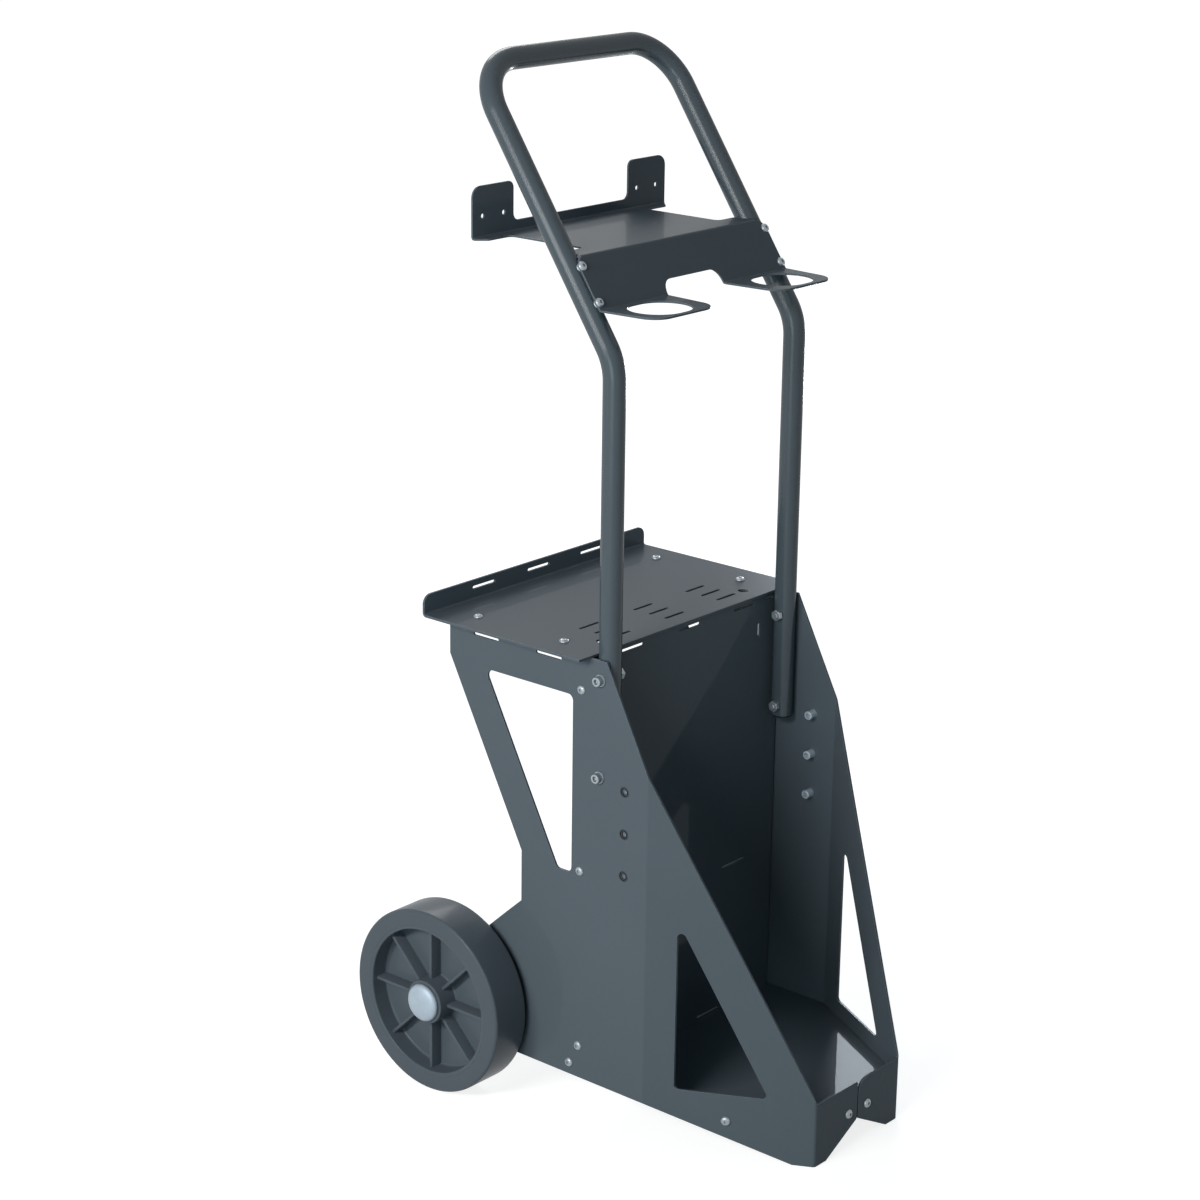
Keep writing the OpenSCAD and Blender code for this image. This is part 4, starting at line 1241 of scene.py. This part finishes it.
def on_axle(mesh: Mesh, x: float, side: Side) -> Mesh:
    """Turns a mesh from the Z axis onto the axle.

    Args:
        mesh: The mesh.
        x: Distance of its height 0 from the cart's middle, in millimetres.
        side: The side that its upper end looks to.

    Returns:
        The same mesh.
    """
    turn = Matrix.Rotation(math.radians(90 * side.value), 4, "Y")
    mesh.transform(Matrix.Translation(place(side.value * x, AXLE_Y, AXLE_Z)) @ turn)
    return mesh


@dataclass
class Wheel:
    """One wheel on the axle: rim with ribs, tyre and hub bush, in millimetres.

    Attributes:
        side: The side of the cart.
        middle: Distance of the wheel's middle plane from the cart's.
        width: Width of the tyre and the rim's barrel.
        radius: Radius over the tyre.
        shoulder: Radius of the tyre's shoulders.
        seat: Radius where the tyre sits on the rim.
        barrel: Inner radius of the rim's barrel.
        lip: Radius of the barrel's edges.
        disc: Half the disc's thickness.
        root: Radius between disc and barrel.
        hub: Radius of the hub at its face.
        hub_face: Distance of the hub's outer face from the middle plane.
        hub_root: Radius between hub and disc.
        hub_edge: Radius of the hub's edge.
        hub_bore: Radius of the hub's bore.
        inner: How much farther hub and bush reach on the inner side.
        bush_out: Outer radius of the bush.
        bush_bore: Radius of its bore.
        ribs: Number of ribs.
        rib_half: Half the height of a rib, which reaches through the disc.
        rib_root: Half its thickness at the disc.
        rib_edge: Half its thickness at its edges.
    """

    side: Side
    middle: float = 179.0
    width: float = 44.0
    radius: float = 97.0
    shoulder: float = 2.8
    seat: float = 80.0
    barrel: float = 76.1
    lip: float = 1.5
    disc: float = 2.5
    root: float = 2.5
    hub: float = 23.0
    hub_face: float = 24.5
    hub_root: float = 2.3
    hub_edge: float = 1.1
    hub_bore: float = 12.6
    inner: float = 0.3
    bush_out: float = 12.5
    bush_bore: float = 10.05
    ribs: int = 8
    rib_half: float = 15.5
    rib_root: float = 2.35
    rib_edge: float = 1.75

    def _turned(self, profile: list[tuple], sides: int, name: str) -> Mesh:
        """Gives a part with a closed section, in place on the axle."""
        return on_axle(Turned(profile, closed=True, sides=sides).mesh(name), self.middle, self.side)

    def _rim_profile(self) -> Points:
        """Gives the closed section of hub, disc and barrel.

        Returns:
            Radii and heights.
        """
        half, face, chamfer, gap = self.width / 2, self.hub_face, 0.5, 0.05
        bore, foot = self.hub_bore, self.hub + 0.5 + self.hub_root
        outer = arc(self.hub - self.hub_edge, face - self.hub_edge, self.hub_edge, 90, 0, 4)
        outer += arc(foot, self.disc + self.hub_root, self.hub_root, 180, 270, 4)
        outer += arc(self.barrel - self.root, self.disc + self.root, self.root, 270, 360)
        outer += arc(self.barrel + self.lip, half - self.lip, self.lip, 180, 90)
        outer.append((self.seat - 2 * gap, half))
        start = [(bore, face - chamfer), (bore + chamfer, face)]
        seat = [(self.seat - gap, half - gap), (self.seat - gap, gap - half)]
        return [*start, *outer, *seat, *flipped(outer), *flipped(start, -self.inner)]

    def _rib(self) -> Mesh:
        """Gives one rib from hub to barrel, drafted towards its two edges.

        Returns:
            The rib on the axis of the origin.
        """
        bm = bmesh.new()
        half, sink, near = self.rib_half * MM, 1.5, 1e-7
        rows = [(-half, self.rib_edge * MM), (0, self.rib_root * MM), (half, self.rib_edge * MM)]
        ends = ((self.hub - sink) * MM, (self.barrel + sink) * MM)
        grid = [[[bm.verts.new((x, s * t, r)) for x, t in rows] for s in (-1, 1)] for r in ends]
        for k in range(2):
            for s in (0, 1):
                bm.faces.new([grid[0][s][k], grid[0][s][k + 1], grid[1][s][k + 1], grid[1][s][k]])
            for e in (0, 1):
                bm.faces.new([grid[e][0][k], grid[e][0][k + 1], grid[e][1][k + 1], grid[e][1][k]])
        for k in (0, 2):
            bm.faces.new([grid[0][0][k], grid[1][0][k], grid[1][1][k], grid[0][1][k]])
        bmesh.ops.recalc_face_normals(bm, faces=bm.faces)
        edges = [e for e in bm.edges if all(abs(abs(v.co.x) - half) < near for v in e.verts)]
        bmesh.ops.bevel(bm, geom=edges, offset=0.7 * MM, segments=3, profile=0.5, affect="EDGES")
        return soften(cast(bm, "rib"), 40)

    def _rim(self) -> Mesh:
        """Gives the rim with its ribs.

        Returns:
            The mesh in place.
        """
        centre = place(self.side.value * self.middle, AXLE_Y, AXLE_Z)
        values = {"Count": self.ribs, "Centre": centre, "Material": PALETTE["rim_plastic"]}
        bm = bmesh.new()
        bm.from_mesh(self._turned(self._rim_profile(), 128, "rim"))
        bm.from_mesh(RibGraph().run("ribs", self._rib(), values))
        return cast(bm, "rim")

    def build(self) -> None:
        """Makes the rim with its ribs, the tyre and the bush."""
        name = self.side.name.lower()
        body = "wheel_" + name
        settle("wheel_rim_" + name, self._rim(), "rim_plastic", body, "rim-" + name)
        half, low, turn, gap = self.width / 2, self.seat + 0.02, self.shoulder, 0.05
        tyre = [(low, gap - half), (low + gap, -half), *arc(self.radius - turn, turn - half, turn, -90, 0, 8)]
        tyre += flipped(tyre)
        settle("tyre_" + name, self._turned(tyre, 160, "tyre"), "tyre_rubber", body)
        bore, out, face, chamfer = self.bush_bore, self.bush_out, self.hub_face, 0.4
        bush = [(bore, face - chamfer), (bore + chamfer, face), (out - chamfer, face), (out, face - chamfer)]
        bush += flipped(bush, -self.inner)
        settle("hub_bush_" + name, self._turned(bush, 64, "bush"), "bush_plastic", body)


@dataclass
class AxleSet:
    """The axle with its washers and end caps, in millimetres.

    Attributes:
        end: Half length of the axle.
        radius: Radius of the axle.
        chamfer: Chamfer of its ends.
        washer: Thickness of the washers between panels and hubs.
        cap_seat: Distance of the caps' rims from the middle.
    """

    kit: FastenerKit
    end: float = 209.5
    radius: float = 10.0
    chamfer: float = 0.8
    washer: float = 3.5
    cap_seat: float = 203.8

    def build(self) -> None:
        """Makes the axle, the washers and the caps."""
        low, chamfer = -self.end, self.chamfer
        bar = [(0, low), (self.radius - chamfer, low), (self.radius, low + chamfer)]
        bar += flipped(bar)
        axle = on_axle(Turned(bar, sides=64).mesh("axle-bar"), 0, Side.RIGHT)
        settle("axle", axle, "axle_steel", name="axle-bar")
        ring = [(10.1, 0.3), (10.4, 0), (16.6, 0), (17, 0.4)]
        ring += flipped(ring, self.washer)
        spots = both(Spot(place(PANEL_HALF, AXLE_Y, AXLE_Z), Vector((1, 0, 0))))
        self.kit.fit("axle_washers", Turned(ring, closed=True, sides=64), spots)
        dome = [(0, 7.5), (6, 7.4), (11, 7.0), (15, 6.2), (17.6, 4.9), (19, 3.4), (19.55, 2.0), (19.6, 1.0)]
        shell = [(19.3, 0.25), (18.8, 0), (10.06, 0), (10.06, 5.8), (0, 5.9)]
        for side in Side:
            node = "axle_cap_" + side.name.lower()
            cap = Turned([*dome, *shell], sides=96).mesh(node)
            settle(node, on_axle(cap, self.cap_seat, side), "cap_steel")


# Studio


@dataclass
class Softbox:
    """A soft lamp.

    Attributes:
        name: Its name.
        spot: Its place in metres.
        target: Where it looks.
        size: Its width and height in metres.
        power: Its power in watts.
        colour: The colour of its light.
        roll: Its turn round the way it looks, in degrees.
        diffuse: Whether it lights surfaces.
        glossy: Whether it is reflected in them.
    """

    name: str
    spot: Triple
    target: Triple
    size: tuple[float, float]
    power: float
    colour: Triple = (1.0, 1.0, 1.0)
    roll: float = 0.0
    diffuse: bool = True
    glossy: bool = True

    def build(self) -> None:
        """Hangs the lamp."""
        lamp = bpy.data.lights.new(self.name, "AREA")
        lamp.shape = "RECTANGLE"
        lamp.size, lamp.size_y = self.size
        lamp.energy = self.power
        lamp.color = self.colour
        holder = bpy.data.objects.new(self.name, lamp)
        look = (Vector(self.target) - Vector(self.spot)).to_track_quat("-Z", "Y").to_matrix().to_4x4()
        roll = Matrix.Rotation(math.radians(self.roll), 4, "Z")
        holder.matrix_world = Matrix.Translation(self.spot) @ look @ roll
        holder.visible_camera = False
        holder.visible_diffuse = self.diffuse
        holder.visible_glossy = self.glossy
        bpy.context.scene.collection.objects.link(holder)


@dataclass
class Camera:
    """The camera, where the photograph was taken from.

    Attributes:
        spot: Its place in metres.
        turn: Its turn about Z from a look along +Y, in degrees.
        fall: How far it looks down, in degrees.
        roll: Its turn round the way it looks, in degrees.
        lens: Its focal length in millimetres.
        sensor: Width of its picture in millimetres.
    """

    spot: Triple = (-2.1026, -1.70325, 1.3692)
    turn: float = -49.42
    fall: float = 17.66
    roll: float = 0.75
    lens: float = 86.31
    sensor: float = 36.0

    def build(self) -> None:
        """Sets up the camera."""
        turn, fall, roll = math.radians(self.turn), math.radians(self.fall), math.radians(self.roll)
        ahead = Vector((-math.sin(turn) * math.cos(fall), math.cos(turn) * math.cos(fall), -math.sin(fall)))
        right = ahead.cross(Vector((0, 0, 1))).normalized()
        up = right.cross(ahead)
        across = math.cos(roll) * right + math.sin(roll) * up
        over = math.cos(roll) * up - math.sin(roll) * right
        lens = bpy.data.cameras.new("camera")
        lens.sensor_width = self.sensor
        lens.lens = self.lens
        camera = bpy.data.objects.new("camera", lens)
        camera.matrix_world = Matrix((across, over, -ahead)).transposed().to_4x4()
        camera.matrix_world.translation = self.spot
        bpy.context.scene.collection.objects.link(camera)
        bpy.context.scene.camera = camera


# The strip on the cart's left: its place, where it looks, and its size, in metres
STRIP = ((-2.76, 0.02, 1.6), (0, 0, 0.5), (2.0, 0.4))
LAMPS = (
    Softbox("key", *STRIP, 67, (1.0, 0.975, 0.965), 34, glossy=False),
    Softbox("streak", *STRIP, 60, roll=34, diffuse=False),
    Softbox("fill", (-2.8, -1.05, 0.7), (0, 0, 0.5), (1.2, 1.2), 18.5, (0.76, 0.97, 1.0)),
    Softbox("back", (1.7, 2.4, 2.6), (0, 0, 0.5), (1.5, 1.5), 36),
    Softbox("low", (0.865, 0.375, 0.554), (0.046, -0.199, 0.052), (0.26, 0.17), 3.2, (0.84, 0.92, 1.0)),
)


@dataclass
class Studio:
    """The floor, the lamps, the white background and the camera.

    Attributes:
        ambient: Strength of the light from all round.
        ambient_colour: Its colour.
        floor_tone: How much light the floor throws back.
        floor_glow: How bright the floor looks near the cart without any light.
        floor_near: Distance from the middle up to which it looks so, in metres.
        floor_far: Distance from which it is white.
        floor_reach: Half the floor's width in metres.
        floor_drop: How far below the wheels it lies, in metres.
    """

    ambient: float = 0.12
    ambient_colour: Triple = (0.68, 0.98, 1.15)
    floor_tone: float = 0.4
    floor_glow: float = 0.82
    floor_near: float = 0.8
    floor_far: float = 2.4
    floor_reach: float = 30.0
    floor_drop: float = 0.0002

    def _world(self) -> None:
        """Makes a background that looks white and lights the cart softly."""
        world = bpy.data.worlds.new("studio")
        bpy.context.scene.world = world
        world.use_nodes = True
        world.node_tree.nodes.clear()
        graph = Graph(world.node_tree)
        shown = seen(graph)
        colours = {0: shown, 6: (*self.ambient_colour, 1), 7: (1, 1, 1, 1)}
        colour = graph.node("ShaderNodeMix", colours, data_type="RGBA").outputs[2]
        sockets = {"Color": colour, "Strength": self.ambient + shown * (1 - self.ambient)}
        back = graph.node("ShaderNodeBackground", sockets)
        graph.node("ShaderNodeOutputWorld", {"Surface": back.outputs[0]})

    def _floor(self) -> None:
        """Lays a pale floor that looks white beside the cart's shadow."""
        shader = Shader("floor")
        plain = shader.node("ShaderNodeBsdfDiffuse", {"Color": (*[self.floor_tone] * 3, 1)})
        far = shader.step(shader.length(shader.where()), self.floor_near, self.floor_far)
        strength = seen(shader) * (self.floor_glow + far * (1 - self.floor_glow))
        glow = shader.node("ShaderNodeEmission", {"Color": (1, 1, 1, 1), "Strength": strength})
        together = shader.node("ShaderNodeAddShader", {0: plain.outputs[0], 1: glow.outputs[0]})
        mesh = bpy.data.meshes.new("floor")
        signs = ((-1, -1), (1, -1), (1, 1), (-1, 1))
        corners = [(x * self.floor_reach, y * self.floor_reach, -self.floor_drop) for x, y in signs]
        mesh.from_pydata(corners, [], [(0, 1, 2, 3)])
        mesh.materials.append(shader.end(together))
        hold("floor", mesh)

    def build(self) -> None:
        """Makes the whole studio."""
        self._world()
        self._floor()
        for lamp in LAMPS:
            lamp.build()
        Camera().build()
        bpy.context.scene.view_settings.view_transform = "Standard"
        log.info("studio with %d lamps", len(LAMPS))


SHEETS = ("side_panel_left", "side_panel_right", "shelf_plate", "bay_wall", "floor_tray", "torch_hanger")


def main() -> None:
    """Builds the cart's pieces in order and then the studio."""
    logging.basicConfig(level=logging.INFO, format="%(message)s")
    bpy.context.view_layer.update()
    mix_finishes()
    kit = FastenerKit()
    for node in SHEETS:
        SheetPart(node).build()
    Handle().build()
    Plugs(kit).build()
    for side in Side:
        Wheel(side).build()
    AxleSet(kit).build()
    kit.build()
    Studio().build()
    bpy.context.view_layer.update()


if __name__ == "__main__":
    main()
